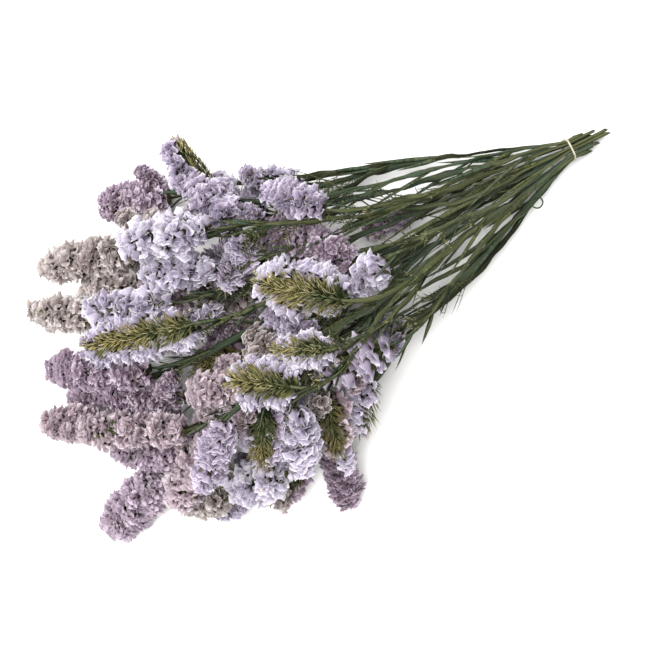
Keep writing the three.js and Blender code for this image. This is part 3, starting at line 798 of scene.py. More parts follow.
def addStem(gather, one, random):
    form = stemForm
    line = swayed(resample(one["route"], form["spacing"]), random)
    twig = [one["base"] + one["along"] * one["length"] * share for share in np.linspace(*form["twig"])]
    onRoute = len(line)
    line = np.concatenate([line, twig])
    ways, acrosses, ups = framesAlong(line)
    steps = travelled(line)
    atHead = steps[onRoute - 1]
    winged = atHead + (form["backWing"] * one["length"] if backShows(one) else 0)
    toHead = np.clip((winged - steps) / form["wingEnds"], 0, 1)
    start = form["radius"] if one["leads"] else form["branchRadius"]
    radius = lerp(start, form["atHead"], np.clip(steps / atHead, 0, 1))
    thick, thin = form["twigThin"]
    radius = radius * np.where(steps > atHead, thick - thin * (steps - atHead) / one["length"], 1)
    sizes = wingSizes(one, line, steps)
    usual, varied, length = form["wingWaves"]
    wing = random.uniform(*form["wing"]) * (usual + varied * wave(random, steps, length)) * sizes
    wing = wing * (form["leastWing"] + (1 - form["leastWing"]) * toHead)
    usual, varied, length = form["thirdWaves"]
    third = form["third"] * (usual + varied * wave(random, steps, length)) * sizes * toHead
    turn = either(random, form["lie"]) + form["twist"] * wave(random, steps, form["twistLength"], 2)
    turn = np.radians(turn)
    across, up = spun(turn, acrosses, ups), spun(turn, ups, -acrosses)
    edges = [form["ripple"] * wing[:, None] / 2 * wave(random, steps, length)[:, None]
             for length in form["rippleLengths"]]
    rings = []
    for place, (share, outward, upward) in enumerate(stemSection):
        lift = radius * upward + (third if place == ridge else 0)
        ring = line + across * (share * wing + outward * radius)[:, None] + up * lift[:, None]
        if abs(share) == 1:
            ring = ring + up * edges[place > 0]
        rings.append(ring)
    rings = np.stack(rings, axis=1)
    if one["leads"]:  # the cut end is slant
        cut = (rings[0] - line[0]) @ across[0]
        rings[0] += np.outer(cut * random.uniform(*form["cut"]), ways[0])
    addTube(gather, rings, line, 0, toneAndShadeOf(one, random))
    one["line"], one["lineWays"] = line[:onRoute], ways[:onRoute]


def addStrand(gather, line, radii, tint, sides=5):
    # a plain twig along a line, from the first of the radii to the last
    _, acrosses, ups = framesAlong(line)
    out = spun(roundTurn(sides), acrosses[:, None], ups[:, None])
    rings = line[:, None] + out * np.linspace(*radii, len(line))[:, None, None]
    addTube(gather, rings, line, 0, tint)


# bracts: slim folded blades in chevrons on the back of each spike; pairs of values are at its foot and tip
bractForm = {
    "length": 12.5, "fullWidth": 36, "taper": (1.05, 0.7), "longer": (0.65, 1.2),
    "wide": 0.56, "wider": (0.7, 1.25), "curve": 0.2, "curved": (0.3, 1.5),
    "pitch": ([30, 60, 90], [5.0, 2.6, 2.0]),  # by how far the head is rolled
    "zone": ([0, 0.25, 0.6, 1], [0.42, 0.56, 0.5, 0.18]),  # share of half the width
    "step": 4.5, "jitter": 0.9, "reach": 0.8, "slant": (50, 22), "slanted": 7, "fan": (-24, 14),
    "back": (0.9, 1.2), "lift": (-0.05, 0.36), "straw": (0.1, 0.75), "outStraw": 0.3, "tint": 0.3,
    "scaleBack": 0.8, "scaleLift": 0.12, "scaleAside": 0.25, "scaleLength": 0.8, "scaleStraw": 0.5,
    "rows": [(0, 0.45), (0.42, 1.0)], "flat": 0.7, "bow": 0.9,  # the blade itself
}


def bractShape():
    form = bractForm
    points, along = [], []
    for share, wide in form["rows"]:
        bow = form["bow"] * math.sin(share * math.pi)
        for turn in (math.radians(angle) for angle in (90, 210, 330)):
            points.append([math.cos(turn) * wide, math.sin(turn) * wide * form["flat"] + bow, share])
            along.append(share)
    points.append([0, 0, 1])
    along.append(1)
    last = len(points) - 4
    tip = [[last, last + 1, last + 3], [last + 1, last + 2, last + 3], [last + 2, last, last + 3]]
    faces = [tubeFaces(len(form["rows"]), 3), np.array(tip), np.array([[2, 1, 0]])]
    return np.array(points), faces, np.array(along)


bract = bractShape()


def addBlades(gather, shape, roots, ways, ups, lengths, wides, look, around, tints, curves=0.0):
    # copies of a blade that runs along its own z, its back to y, from roots along ways, curved sideways
    points, faces, along = shape
    roots, ways, ups = (np.asarray(given, float) for given in (roots, ways, ups))
    count = len(roots)
    ways = units(ways)
    across = units(np.cross(ups, ways))
    ups = np.cross(ways, across)
    sizes = (lengths, wides, curves)
    lengths, wides, curves = (np.broadcast_to(given, count)[:, None, None] for given in sizes)
    x, y, z = (points[None, :, axis:axis + 1] for axis in range(3))
    placed = roots[:, None] + across[:, None] * (x * wides + z ** 2 * lengths * curves)
    placed = placed + ups[:, None] * (y * wides) + ways[:, None] * (z * lengths)
    around = np.broadcast_to(around, count)[:, None] * np.ones(len(along))
    addCopies(gather, placed, faces, look, np.tile(along, (count, 1)), around, tints)


def addBracts(gather, one, random):
    form = bractForm
    count = max(3, round(one["length"] * form["reach"] / np.interp(abs(one["roll"]), *form["pitch"])))
    back = -one["face"]
    roots, ways, lengths, places, curves = [], [], [], [], []
    for row in range(count):
        share = (row + 0.5) / count
        spot = one["base"] + one["along"] * one["length"] * form["reach"] * share
        reachOut = one["width"] / 2 * np.interp(share, *form["zone"])
        size = form["length"] * lerp(*form["taper"], share) * min(1, one["width"] / form["fullWidth"])
        for side in (-1, 1):
            slant = math.radians(lerp(*form["slant"], share) + either(random, form["slanted"]))
            outward = one["along"] * math.cos(slant) + one["side"] * side * math.sin(slant)
            far = max(1, int(reachOut / math.sin(slant) / form["step"]))
            for step in range(far):
                root = spot + outward * (step * form["step"] + either(random, form["jitter"]))
                fan = math.radians(random.uniform(*form["fan"]))
                way = outward * math.cos(fan) + np.cross(back, outward) * side * math.sin(fan)
                least, more = form["back"]
                roots.append(root + back * (least + more * math.sin(math.pi * step / max(far, 2))))
                ways.append(way + back * random.uniform(*form["lift"]))
                lengths.append(size * random.uniform(*form["longer"]))
                places.append(lerp(*form["straw"], share) + form["outStraw"] * step / far)
                curves.append(side * form["curve"] * random.uniform(*form["curved"]))
        if row % 2 == 0:  # a scale along the twig itself
            aside = one["side"] * either(random, form["scaleAside"])
            roots.append(spot + back * form["scaleBack"])
            ways.append(one["along"] + back * form["scaleLift"] + aside)
            lengths.append(size * form["scaleLength"])
            places.append(share * form["scaleStraw"])
            curves.append(0)
    wides = form["wide"] * random.uniform(*form["wider"], len(roots))
    tints = one["ageAndShade"] + either(random, form["tint"], len(roots))
    backs = np.tile(back, (len(roots), 1))
    addBlades(gather, bract, roots, ways, backs, lengths, wides, 1, places, tints, curves)


heartForm = {
    "rings": 12, "sides": 8, "radius": 0.9, "length": (0.03, 0.93), "round": (0.93, 0.06, 0.35),
    # the low along gives the axis the painted shade of a bract's root
    "lumps": (0.12, 18), "along": 0.1, "tint": 0.1,
    "scalesFrom": 25, "scaleEvery": 0.42, "scaleArc": 100, "scaleLength": (7, 12), "scaleWide": (0.5, 0.9),
    "scaleLean": (8, 38), "scaleJitter": 0.3, "scaleStraw": 0.7, "scaleTint": 0.3,
}


def addHeart(gather, one, random):
    # the axis that carries the calyces, and the scales on its back where that shows
    form = heartForm
    shares = np.linspace(*form["length"], form["rings"])
    middles = one["base"] + np.outer(shares * one["length"], one["along"]) + one["face"] * one["lift"]
    stretch, start, power = form["round"]
    radii = one["lift"] * form["radius"] * np.sin(np.pi * np.clip(shares * stretch + start, 0, 1)) ** power
    lumps, apart = form["lumps"]
    radii = radii * (1 + lumps * wave(random, shares * 100, apart))
    out = spun(roundTurn(form["sides"]), one["face"], one["side"])
    points = middles[:, None] + radii[:, None, None] * out[None]
    faces = closedTube(form["rings"], form["sides"])
    addCopies(gather, points.reshape(-1, 3), faces, 1, form["along"], 0.0, form["tint"])
    if abs(one["roll"]) > form["scalesFrom"]:
        count = round(one["length"] / form["scaleEvery"])
        share = random.uniform(*form["length"], count)
        turn = np.pi + np.radians(either(random, form["scaleArc"], count))
        out = spun(turn, one["face"], one["side"])
        root = one["base"] + np.outer(share * one["length"], one["along"]) + one["face"] * one["lift"]
        root = root + out * np.interp(share, shares, radii)[:, None]
        lean = np.radians(random.uniform(*form["scaleLean"], count))
        way = spun(lean, one["along"], out) + random.normal(size=out.shape) * form["scaleJitter"]
        lengths, wides = (random.uniform(*form[name], count) for name in ("scaleLength", "scaleWide"))
        tints = one["ageAndShade"] + either(random, form["scaleTint"], count)
        addBlades(gather, bract, root, way, out, lengths, wides, 1, share * form["scaleStraw"], tints)


# long ribbons and curled tendrils among the stems
ribbonForm = {
    "count": (5, 9), "share": (0.04, 0.6), "skip": 8, "turn": 8, "inward": 0.45, "climb": 5, "rolled": 0.4,
    "length": (40, 100), "wide": (0.9, 2.3), "bend": 0.08, "along": 0.1, "tint": 0.3,
    "curls": (2, 4), "curlPlaces": (10, 6), "curlReach": (10, 26), "curlRadii": (0.55, 0.2),
    "curlTurn": (70, 260), "curlSteps": 12, "curlPower": 1.6, "curlAside": 0.6, "curlTint": 0.6,
}


def addRibbons(gather, one, random):
    form = ribbonForm
    line, ways = one["line"], one["lineWays"]
    count = random.integers(*form["count"])
    places = (random.uniform(*form["share"], count) * len(line)).astype(int) + form["skip"]
    turns = np.radians(random.normal(0, form["turn"], count) + one["bearing"] * form["inward"])
    leans = np.radians(random.normal(0, form["climb"], count))
    way = ways[places]
    way = way + np.cross(zAxis, way) * np.tan(turns)[:, None] + zAxis * np.tan(leans)[:, None]
    ups = zAxis + random.normal(size=way.shape) * form["rolled"]
    lengths, wides = (random.uniform(*form[name], count) for name in ("length", "wide"))
    tints = toneAndShadeOf(one, random) + either(random, form["tint"], count)
    curves = either(random, form["bend"], count)
    addBlades(gather, leaf, line[places], way, ups, lengths, wides, 0, form["along"], tints, curves)
    first, last = form["curlPlaces"]
    for _ in range(random.integers(*form["curls"])):
        place = random.integers(first, len(line) - last)
        addTendril(gather, line[place], ways[place], random)


def addTendril(gather, root, way, random):
    form = ribbonForm
    reach = random.uniform(*form["curlReach"])
    curl = math.radians(random.uniform(*form["curlTurn"])) * random.choice([-1, 1])
    aside = unit(np.cross(way, random.normal(size=3) + zAxis))
    angles = curl * np.linspace(0, 1, form["curlSteps"]) ** form["curlPower"]
    headings = spun(angles, unit(way + aside * form["curlAside"]), aside)
    line = root + np.cumsum(headings, axis=0) * reach / form["curlSteps"]
    addStrand(gather, line, form["curlRadii"], random.uniform(0, form["curlTint"]), sides=4)


# papery calyces: a crumpled, pleated funnel with its mouth at zero and its foot below
calyxForm = {
    "forms": 28, "sides": 18, "plainSides": 10, "plainPleat": 0.3, "length": 11.5, "folded": (0.2, 1),
    "pleats": (0.5, 1.4), "opening": 2.2, "stretch": 0.25, "lobes": 5, "foldRadius": 5,
    "rimWaves": (2, 3, 4, 5, 7), "riseWaves": (2, 3, 5, 7), "waveSize": (0.4, 1),
}
# radius at shares of the length, and how a mouth is pleated, crumpled and roughened in radius and height,
# squashed, folded and notched; its folds lie any way round unless turn says how far
calyxKinds = {
    "broad": {
        "profile": [(0.3, 1.2), (0.66, 2.0), (1.0, 5.0)], "pleat": (0.06, 0.34), "crumple": (0.2, 1.15),
        "rough": (0.015, 0.07), "squash": (0.4, 0.95), "fold": 3.6, "notch": 0.3, "smooth": True,
    },
    "fan": {
        "profile": [(0.3, 1.1), (0.5, 1.8), (1.0, 4.7)], "pleat": (0.12, 0.38), "crumple": (0.14, 1.0),
        "rough": (0.03, 0.15), "squash": (0.3, 0.55), "fold": 1.0, "notch": 0.3, "smooth": False,
    },
    "folded": {
        "profile": [(0.3, 1.3), (0.6, 2.2), (1.0, 4.6)], "pleat": (0.08, 0.3), "crumple": (0.12, 0.7),
        "rough": (0.02, 0.1), "squash": (0.3, 0.45), "fold": 1.6, "notch": 0.2, "smooth": True, "turn": 0.0,
    },
    "frilled": {
        "profile": [(0.3, 1.1), (0.78, 1.7), (1.0, 5.2)], "pleat": (0.08, 0.4), "crumple": (0.18, 0.6),
        "rough": (0.03, 0.12), "squash": (0.7, 1.0), "fold": 1.4, "notch": 0.3, "smooth": True,
    },
}


def ripple(random, angles, orders):
    # a random closed line round a mouth
    size = calyxForm["waveSize"]
    waves = [(order, random.uniform(0, 2 * math.pi), random.uniform(*size)) for order in orders]
    return sum(size * np.cos(order * angles + phase) / order ** 0.5 for order, phase, size in waves) / 2


def calyxShape(random, kind, sides):
    form, angles = calyxForm, roundTurn(sides)
    squash, foldTurn = random.uniform(*kind["squash"]), random.uniform(0, kind.get("turn", math.pi))
    fold = kind["fold"] * random.uniform(*form["folded"])
    rim, rise = ripple(random, angles, form["rimWaves"]), ripple(random, angles, form["riseWaves"])
    pleat = np.cos(angles * sides / 2) * random.uniform(*form["pleats"], sides)
    if sides == form["plainSides"]:
        pleat = pleat * form["plainPleat"]
    cos, sin = math.cos(foldTurn), math.sin(foldTurn)
    points = []
    for share, radius in kind["profile"]:
        opened = share ** form["opening"]
        rough = kind["rough"][0] * random.normal(size=sides)
        r = radius * (1 + opened * (kind["pleat"][0] * pleat + kind["crumple"][0] * rim + rough))
        flat = lerp(1, squash, opened)
        x, y = np.cos(angles) * r / flat ** form["stretch"], np.sin(angles) * r * flat
        z = kind["pleat"][1] * pleat + kind["crumple"][1] * rise
        z = z + kind["notch"] * np.cos(form["lobes"] * angles)
        z = z - fold * (x / form["foldRadius"]) ** 2 + kind["rough"][1] * random.normal(size=sides)
        z = (share - 1) * form["length"] + opened * z
        points.append(np.stack([x * cos - y * sin, x * sin + y * cos, z], axis=1))
    return np.concatenate(points)


def makeCalyces(random, sides):
    # with marks of how far up its length and how far round its mouth each point is
    made = {}
    for name, kind in calyxKinds.items():
        shares = [share for share, _ in kind["profile"]]
        made[name] = {
            "shapes": np.stack([calyxShape(random, kind, sides) for _ in range(calyxForm["forms"])]),
            "faces": tubeFaces(len(shares), sides), "smooth": kind["smooth"],
            "along": np.repeat(shares, sides), "around": np.tile(np.arange(sides) / sides, len(shares)),
        }
    return made


# the dry flower in a mouth: a star, whose radius and step up are given at its notches and at its points
corollaForm = {
    "forms": 8, "corners": 10, "radius": (1.0, 2.3), "uneven": (0.75, 1.15), "height": -2.6,
    "raised": (-0.5, 0.9), "step": (-0.5, 0.6), "foot": -4.2,
}


def corollaShape(random):
    form, count = corollaForm, corollaForm["corners"]
    angles, notch = roundTurn(count), np.arange(count) % 2
    r = np.where(notch, *form["radius"]) * random.uniform(*form["uneven"], count)
    z = form["height"] + random.uniform(*form["raised"], count) + np.where(notch, *form["step"])
    star = np.stack([np.cos(angles) * r, np.sin(angles) * r, z], axis=1)
    return np.concatenate([star, [[0, 0, form["foot"]]]])


# green bracts round the foot of a calyx: share of their length, radius and teeth, from the axis outward
cupForm = {
    # the inner ring, at along 0, takes the painted shade of a bract's root
    "sides": 6, "teeth": 3, "rows": [(0.0, 1.0, 0), (1.0, 2.0, 0.2)], "length": 0.6, "along": (0.0, 0.5),
    "straw": 0.4,
}


def cupShape():
    angles = roundTurn(cupForm["sides"])
    teeth = np.cos(angles * cupForm["teeth"])
    rows = []
    for share, r, tooth in cupForm["rows"]:
        rows.append(np.stack([np.cos(angles) * r, np.sin(angles) * r, share + tooth * teeth], axis=1))
    return np.concatenate(rows)


shapes = np.random.default_rng(7)
fineCalyces, plainCalyces = (makeCalyces(shapes, calyxForm[sides]) for sides in ("sides", "plainSides"))
corollaShapes = np.stack([corollaShape(shapes) for _ in range(corollaForm["forms"])])
corners = corollaForm["corners"]
corollaFaces = np.array([[corner, (corner + 1) % corners, corners] for corner in range(corners)])
cup, cupFaces = cupShape(), tubeFaces(len(cupForm["rows"]), cupForm["sides"])

# a spike: how its calyces stand in rows and clumps on the face of the head; arcs are in degrees each way
spikeForm = {
    "radius": 0.47, "start": 0.05, "end": 0.97, "bulge": (3.4, 1.03, 0.1, 0.3),
    "arc": ([30, 60], [112, 78]), "tip": (0.85, 0.15), "tipArc": 150,  # by the head's roll, and at its tip
    "backArc": ([0.05, 0.5], [66, 124]),  # where its back shows: bracts at the foot, calyces at the tip
    "stagger": (0.75, 0.25), "jitter": 0.9, "usualPitch": 5, "uneven": (0.95, 1.05),
    "clump": 16, "clumpReach": 0.6, "clumpFull": 0.08, "clumpDrop": 0.3, "clumpSplay": 0.7,
    "clumpTint": 0.25, "lean": ([0, 0.6, 1], [28, 44, 80]), "steepest": 0.45, "tilt": 13, "tilted": 0.6,
    "within": 4, "clear": 2.4, "search": 6, "buried": (0.08, 0.95, 0.33),  # where there is no room
    "sizes": (0.8, 1.18), "tipSize": 0.85, "tint": 0.12, "plainBelow": (-0.2, -0.85),
    "cups": 0.3, "cupTint": 0.6, "corollas": 0.03,
}
# a calyx's size, its spacing along and across, how it is ruffled and turned, and its kinds
habits = {
    "lilac": {"size": 1.05, "pitch": 4.7, "across": 5.9, "ruffle": 0.95, "kinds": ("broad", "fan")},
    "ice": {"size": 1.28, "pitch": 6.0, "across": 7.3, "ruffle": 1, "kinds": ("broad",)},
    "cream": {"size": 1.12, "pitch": 5.0, "across": 6.2, "ruffle": 1, "kinds": ("frilled", "broad")},
    "blush": {"size": 1.05, "pitch": 4.8, "across": 5.9, "ruffle": 1, "kinds": ("frilled", "broad")},
    "mauve": {"size": 0.95, "pitch": 4.3, "across": 5.3, "ruffle": 0.9, "kinds": ("frilled",)},
    "back": {"size": 1.15, "pitch": 3.6, "across": 4.7, "ruffle": 1, "kinds": ("fan", "broad")},
    "loose": {"size": 1.6, "pitch": 8.5, "across": 15, "ruffle": 0.8, "kinds": ("folded",), "spin": 0.35},
}
looseHeads = [14]
asideBy = {15: -28}  # heads that show more of a side than their solids do, in degrees
# how aged a head is, where not as usual; the high values of heads 20, 26, 40 and 41 also paint the deep
# shade that they lie in
usualAge = 0.45
agesAndShade = {
    2: 0.5, 3: 0.3, 4: 0.6, 5: 0.85, 8: 0.7, 9: 0.55, 12: 0.3, 15: 0.4, 18: 0.65, 20: 0.95, 23: 0.6,
    24: 0.2, 26: 0.95, 27: 0.25, 31: 0.35, 34: 0.3, 35: 0.65, 39: 0.7, 40: 0.95, 41: 1.0, 42: -0.6,
    43: 0.2, 44: 0.25, 47: 0.9,
}


def habitOf(one):
    if one["number"] in looseHeads:
        return habits["loose"]
    return habits["back" if backShows(one) else one["tone"]]


def surfaceOf(one, share, turn, radius):
    out = spun(turn, one["face"], one["side"])
    middle = one["base"] + one["face"] * one["lift"] + share[:, None] * one["length"] * one["along"]
    return middle + out * radius[:, None], out


def bulgeOf(share):
    power, foot, less, least = spikeForm["bulge"]
    return max(math.sqrt(max(1 - abs(2 * share - 1) ** power, 0)) * (foot - less * share), least)


def arcOf(one, share):
    form = spikeForm
    arc = np.interp(abs(one["roll"]), *form["arc"])
    if backShows(one):
        arc = np.interp(share, *form["backArc"])
    tip, tipLength = form["tip"]
    return lerp(arc, form["tipArc"], (share - tip) / tipLength) if share > tip else arc


def spikeSpots(one, random, pitch, across):
    # share of length and turn round the axis, in staggered rows, and the radius there
    form = spikeForm
    half = one["width"] * form["radius"]
    rows = max(3, round(one["length"] * (form["end"] - form["start"]) / pitch))
    spots = []
    for row in range(rows + 1):
        share = lerp(form["start"], form["end"], row / rows)
        radius, arc = half * bulgeOf(share), arcOf(one, share)
        count = max(3, round(2 * math.radians(arc) * radius / across))
        for place in range(count):
            turn = lerp(-arc, arc, (place + form["stagger"][row % 2]) / count)
            spots.append((share, math.radians(turn), radius))
    share, turn, radius = np.array(spots).T
    loose = pitch / form["usualPitch"]  # the wider the rows, the looser
    share = share + random.normal(size=len(share)) * form["jitter"] * loose / one["length"]
    turn = turn + random.normal(size=len(share)) * form["jitter"] * loose / radius
    return share, turn, radius


def nearestStem(points, one):
    # distance to the stems of the other heads
    search = spikeForm["search"]
    nearest = np.full(len(points), math.inf)
    for other in heads:
        if other is one:
            continue
        line = other["line"]
        close = np.all((points > line.min(0) - search) & (points < line.max(0) + search), axis=1)
        if close.any():
            apart = np.linalg.norm(points[close][:, None] - line[None], axis=2).min(1)
            nearest[close] = np.minimum(nearest[close], apart)
    return nearest


def buried(points, one):
    # True where a calyx would be hidden inside another head; a sprig's own length tells it from its head
    first, last, radius = spikeForm["buried"]
    inside = np.zeros(len(points), bool)
    for other in heads:
        if other["number"] == one["number"] and other["length"] == one["length"]:
            continue
        start = other["base"] + other["face"] * other["lift"]
        share = (points - start) @ other["along"] / other["length"]
        apart = np.linalg.norm(points - start - np.outer(share * other["length"], other["along"]), axis=1)
        inside |= (share > first) & (share < last) & (apart < radius * other["width"])
    return inside


def setOut(one, habit, fineness, random):
    # the mouths of a head's calyces, their ways, feet, places and clumps, where nothing is in the way
    form, ruffle = spikeForm, habit["ruffle"]
    share, turn, radius = spikeSpots(one, random, habit["pitch"] * fineness, habit["across"] * fineness)
    centres, _ = surfaceOf(one, *spikeSpots(one, random, form["clump"], form["clump"]))
    mouth, out = surfaceOf(one, share, turn, radius)
    offsets = mouth[:, None] - centres[None]
    apart = np.linalg.norm(offsets, axis=2)
    clump = apart.argmin(1)
    picked = np.arange(len(mouth))
    offset, apart = offsets[picked, clump], apart[picked, clump] / (form["clump"] * form["clumpReach"])
    fullness = either(random, form["clumpFull"], len(centres))[clump]
    fullness = fullness - form["clumpDrop"] * apart ** 2
    radius = radius * (1 + ruffle * fullness) * random.uniform(*form["uneven"], len(mouth))
    mouth, out = surfaceOf(one, share, turn, radius)
    lean = np.radians(np.interp(share, *form["lean"]))
    way = spun(lean, out, one["along"])
    foot = mouth - way * (radius / np.maximum(np.cos(lean), form["steepest"]))[:, None]
    way = way + offset / form["clump"] * form["clumpSplay"] * ruffle
    tilt = math.tan(math.radians(form["tilt"] * ruffle))
    way = units(way + random.normal(size=way.shape) * tilt * form["tilted"])
    clear = (nearestStem(mouth - way * form["within"], one) > form["clear"]) & ~buried(mouth, one)
    return [values[clear] for values in (mouth, way, foot, share, clump)], len(centres)


def standing(shapes, roots, axes, sizes):
    return roots[:, None] + np.einsum("cpi,cij->cpj", shapes * sizes[:, None, None], axes)


def addSpike(paperGather, greenGather, one, random):
    form, habit = spikeForm, habitOf(one)
    kinds, fineness = habit["kinds"], one.get("fineness", 1)
    (mouth, way, foot, share, clump), clumps = setOut(one, habit, fineness, random)
    count = len(mouth)
    spin = either(random, 1, count) * habit.get("spin", math.pi)
    first = units(np.cross(way, one["along"] + 0.01 * zAxis))  # never along its own way
    x = spun(spin, first, np.cross(way, first))
    axes = np.stack([x, np.cross(way, x), way], axis=1)
    size = habit["size"] * fineness * random.uniform(*form["sizes"], count)
    size = size * lerp(1, form["tipSize"], np.clip(share, 0, 1) ** 3)
    pick = random.integers(0, calyxForm["forms"], count)
    tint = one["ageAndShade"] + either(random, form["clumpTint"], clumps)[clump]
    tint = tint + random.normal(0, form["tint"], count)
    under = way[:, 2] < form["plainBelow"][int(backShows(one))]  # what faces the ground is plainer
    kind = random.integers(0, len(kinds), count)
    for index, name in enumerate(kinds):
        for calyces, level in ((fineCalyces[name], ~under), (plainCalyces[name], under)):
            chosen = level & (kind == index)
            points = standing(calyces["shapes"][pick[chosen]], mouth[chosen], axes[chosen], size[chosen])
            marks = [np.tile(calyces[mark], (chosen.sum(), 1)) for mark in ("along", "around")]
            faces, smooth = [calyces["faces"]], calyces["smooth"]
            addCopies(paperGather, points, faces, 0, *marks, tint[chosen], smooth)
    flowered = np.flatnonzero(random.uniform(size=count) < form["corollas"])
    if len(flowered):
        pick = random.integers(0, corollaForm["forms"], len(flowered))
        points = standing(corollaShapes[pick], mouth[flowered], axes[flowered], size[flowered])
        along = np.tile([1.0] * corollaForm["corners"] + [0.0], (len(flowered), 1))
        addCopies(paperGather, points, [corollaFaces], 1, along)
    shown = random.uniform(size=count) < (1 if kinds == ("folded",) else form["cups"])
    cups = np.tile(cup, (shown.sum(), 1, 1))
    cups[:, :, 2] *= (np.linalg.norm(mouth - foot, axis=1) * cupForm["length"])[shown, None]
    points = standing(cups, foot[shown], axes[shown], np.ones(len(cups)))
    along = np.tile(np.repeat(cupForm["along"], cupForm["sides"]), (len(points), 1))
    tints = random.uniform(0, form["cupTint"], len(points))
    addCopies(greenGather, points, [cupFaces], 1, along, cupForm["straw"], tints)


# side sprigs: small spikes on their own twigs, from the stems behind heads of the middle and lower layers
sprigForm = {
    "count": {"upper": (0, 0), "middle": (1, 3), "lower": (2, 3)},  # fewest and most behind a head
    "nearest": 255, "back": (8, 55), "reach": (12, 26), "spread": 42, "spreads": (0.6, 1.25), "rise": 0.3,
    "corner": (0.45, 0.2), "onward": 2, "flat": (1, 1, 0.3), "steps": 7, "roll": 50,
    "length": (19, 28), "width": (15, 20), "aged": 0.35, "fineness": 0.8,
    "inHead": (0.2, 0.9, 4), "radii": (0.9, 0.4),  # its twig
    "placedBack": 30, "placedCorner": 6,
}


def newSprig(one, twig, along, roll, width, length, aged):
    face = faceOf(along, roll)
    return {**one, "base": twig[-1], "along": along, "face": face, "side": np.cross(along, face), "roll": 0,
            "fineness": sprigForm["fineness"], "ageAndShade": one["ageAndShade"] + aged, "length": length, "width": width,
            "lift": liftOf(width), "twig": twig}


def makeSprigs(one, random):
    form = sprigForm
    line, ways = one["line"], one["lineWays"]
    sprigs = []
    if one["reach"] < form["nearest"]:
        return sprigs
    fewest, most = form["count"][layerOf(one["stemName"])]
    for _ in range(random.integers(fewest, most + 1)):
        step = max(1, len(line) - 1 - round(random.uniform(*form["back"]) / stemForm["spacing"]))
        root, way = line[step], ways[step]
        level = unit(np.cross(zAxis, way))
        aside = unit(level * random.choice([-1, 1]) + zAxis * either(random, form["rise"]))
        away = math.radians(form["spread"] * random.uniform(*form["spreads"]))
        reach = random.uniform(*form["reach"])
        onward, sideways = form["corner"]
        corner = root + way * reach * onward + aside * reach * sideways
        end = root + unit(way * math.cos(away) + aside * math.sin(away)) * reach
        along = unit((end - corner + way * form["onward"]) * form["flat"])
        twig, roll = bent(root, corner, end, form["steps"]), either(random, form["roll"])
        width, length = random.uniform(*form["width"]), random.uniform(*form["length"])
        sprigs.append(newSprig(one, twig, along, roll, width, length, form["aged"]))
    return sprigs


# sprigs that fill a gap beside a head: foot, tip, width, roll and how much more aged
placedSprigs = {
    5: [((-27, 98, 74), (-70, 89, 66), 22, -35, 0.1)],
}


def placeSprigs(one):
    form, sprigs = sprigForm, []
    for foot, tip, width, roll, aged in placedSprigs.get(one["number"], []):
        foot, tip = np.array(foot), np.array(tip)
        along = unit(tip - foot)
        root = nearestOn(one["line"], foot - along * form["placedBack"])
        twig = bent(root, foot - along * form["placedCorner"], foot, form["steps"])
        sprigs.append(newSprig(one, twig, along, roll, width, np.linalg.norm(tip - foot), aged))
    return sprigs


def addSprigs(paperGather, greenGather, one, random):
    for sprig in makeSprigs(one, random) + placeSprigs(one):
        shares = np.linspace(*sprigForm["inHead"])
        tip = sprig["base"] + np.outer(shares * sprig["length"], sprig["along"])
        line = np.concatenate([sprig["twig"], tip])
        addStrand(greenGather, line, sprigForm["radii"], random.uniform(0, 1), sides=6)
        addHeart(greenGather, sprig, random)
        addBracts(greenGather, sprig, random)
        addSpike(paperGather, greenGather, sprig, random)


# leafy bits: blades at the foot of each head, and bare branchlets with small leaves along the stems
leafForm = {
    "rows": [(0, 0.3), (0.2, 0.85), (0.45, 1.0), (0.75, 0.6), (1.0, 0.03)], "bend": 2.2,
    "section": [(-1, 0.25), (0, -0.12), (1, 0.25), (0, 0.12)],
    "count": (9, 15), "back": (2, 75), "length": (14, 36), "wide": (0.9, 2.4), "spread": 26,
    "spreads": (0.4, 1.7), "out": 0.8, "along": 0.1, "curve": 0.15,
    "bare": (3, 7), "bareFrom": 0.5, "bareReach": (14, 34), "bareRadii": (0.5, 0.22), "bareSteps": 16,
    "bareTint": 0.6, "edge": 10, "corner": (0.6, 0.15), "end": (0.2, 0.5, 0.1),  # onward, aside, loose
    "budsFrom": 3, "budLength": (4, 8.5), "budWide": (0.35, 0.7), "budSpread": 0.9,
    "budJitter": (0.35, 0.3), "budStraw": 0.15,
}


def leafShape():
    points, along = [], []
    for share, wide in leafForm["rows"]:
        for side, y in leafForm["section"]:
            points.append([side * wide, y * wide + leafForm["bend"] * share ** 2, share])
            along.append(share)
    return np.array(points), closedTube(len(leafForm["rows"]), len(leafForm["section"])), np.array(along)


leaf = leafShape()


def addLeafyBits(gather, one, random):
    form = leafForm
    line, ways = one["line"], one["lineWays"]
    count = random.integers(*form["count"])
    backs = np.round(random.uniform(*form["back"], count) / stemForm["spacing"]).astype(int)
    places = np.maximum(len(line) - 2 - backs, 1)
    asides = np.array([unit(np.cross(ways[place], random.normal(size=3))) for place in places])
    away = np.radians(form["spread"] * random.uniform(*form["spreads"], count))
    roots, blades = line[places] + asides * form["out"], spun(away, ways[places], asides)
    lengths, wides = (random.uniform(*form[name], count) for name in ("length", "wide"))
    tints, curves = random.uniform(0, 1, count), either(random, form["curve"], count)
    addBlades(gather, leaf, roots, blades, -asides, lengths, wides, 0, form["along"], tints, curves)
    for _ in range(random.integers(*form["bare"])):
        step = random.integers(int(len(line) * form["bareFrom"]), len(line) - 2)
        addBareTwig(gather, one, line[step], ways[step], random)


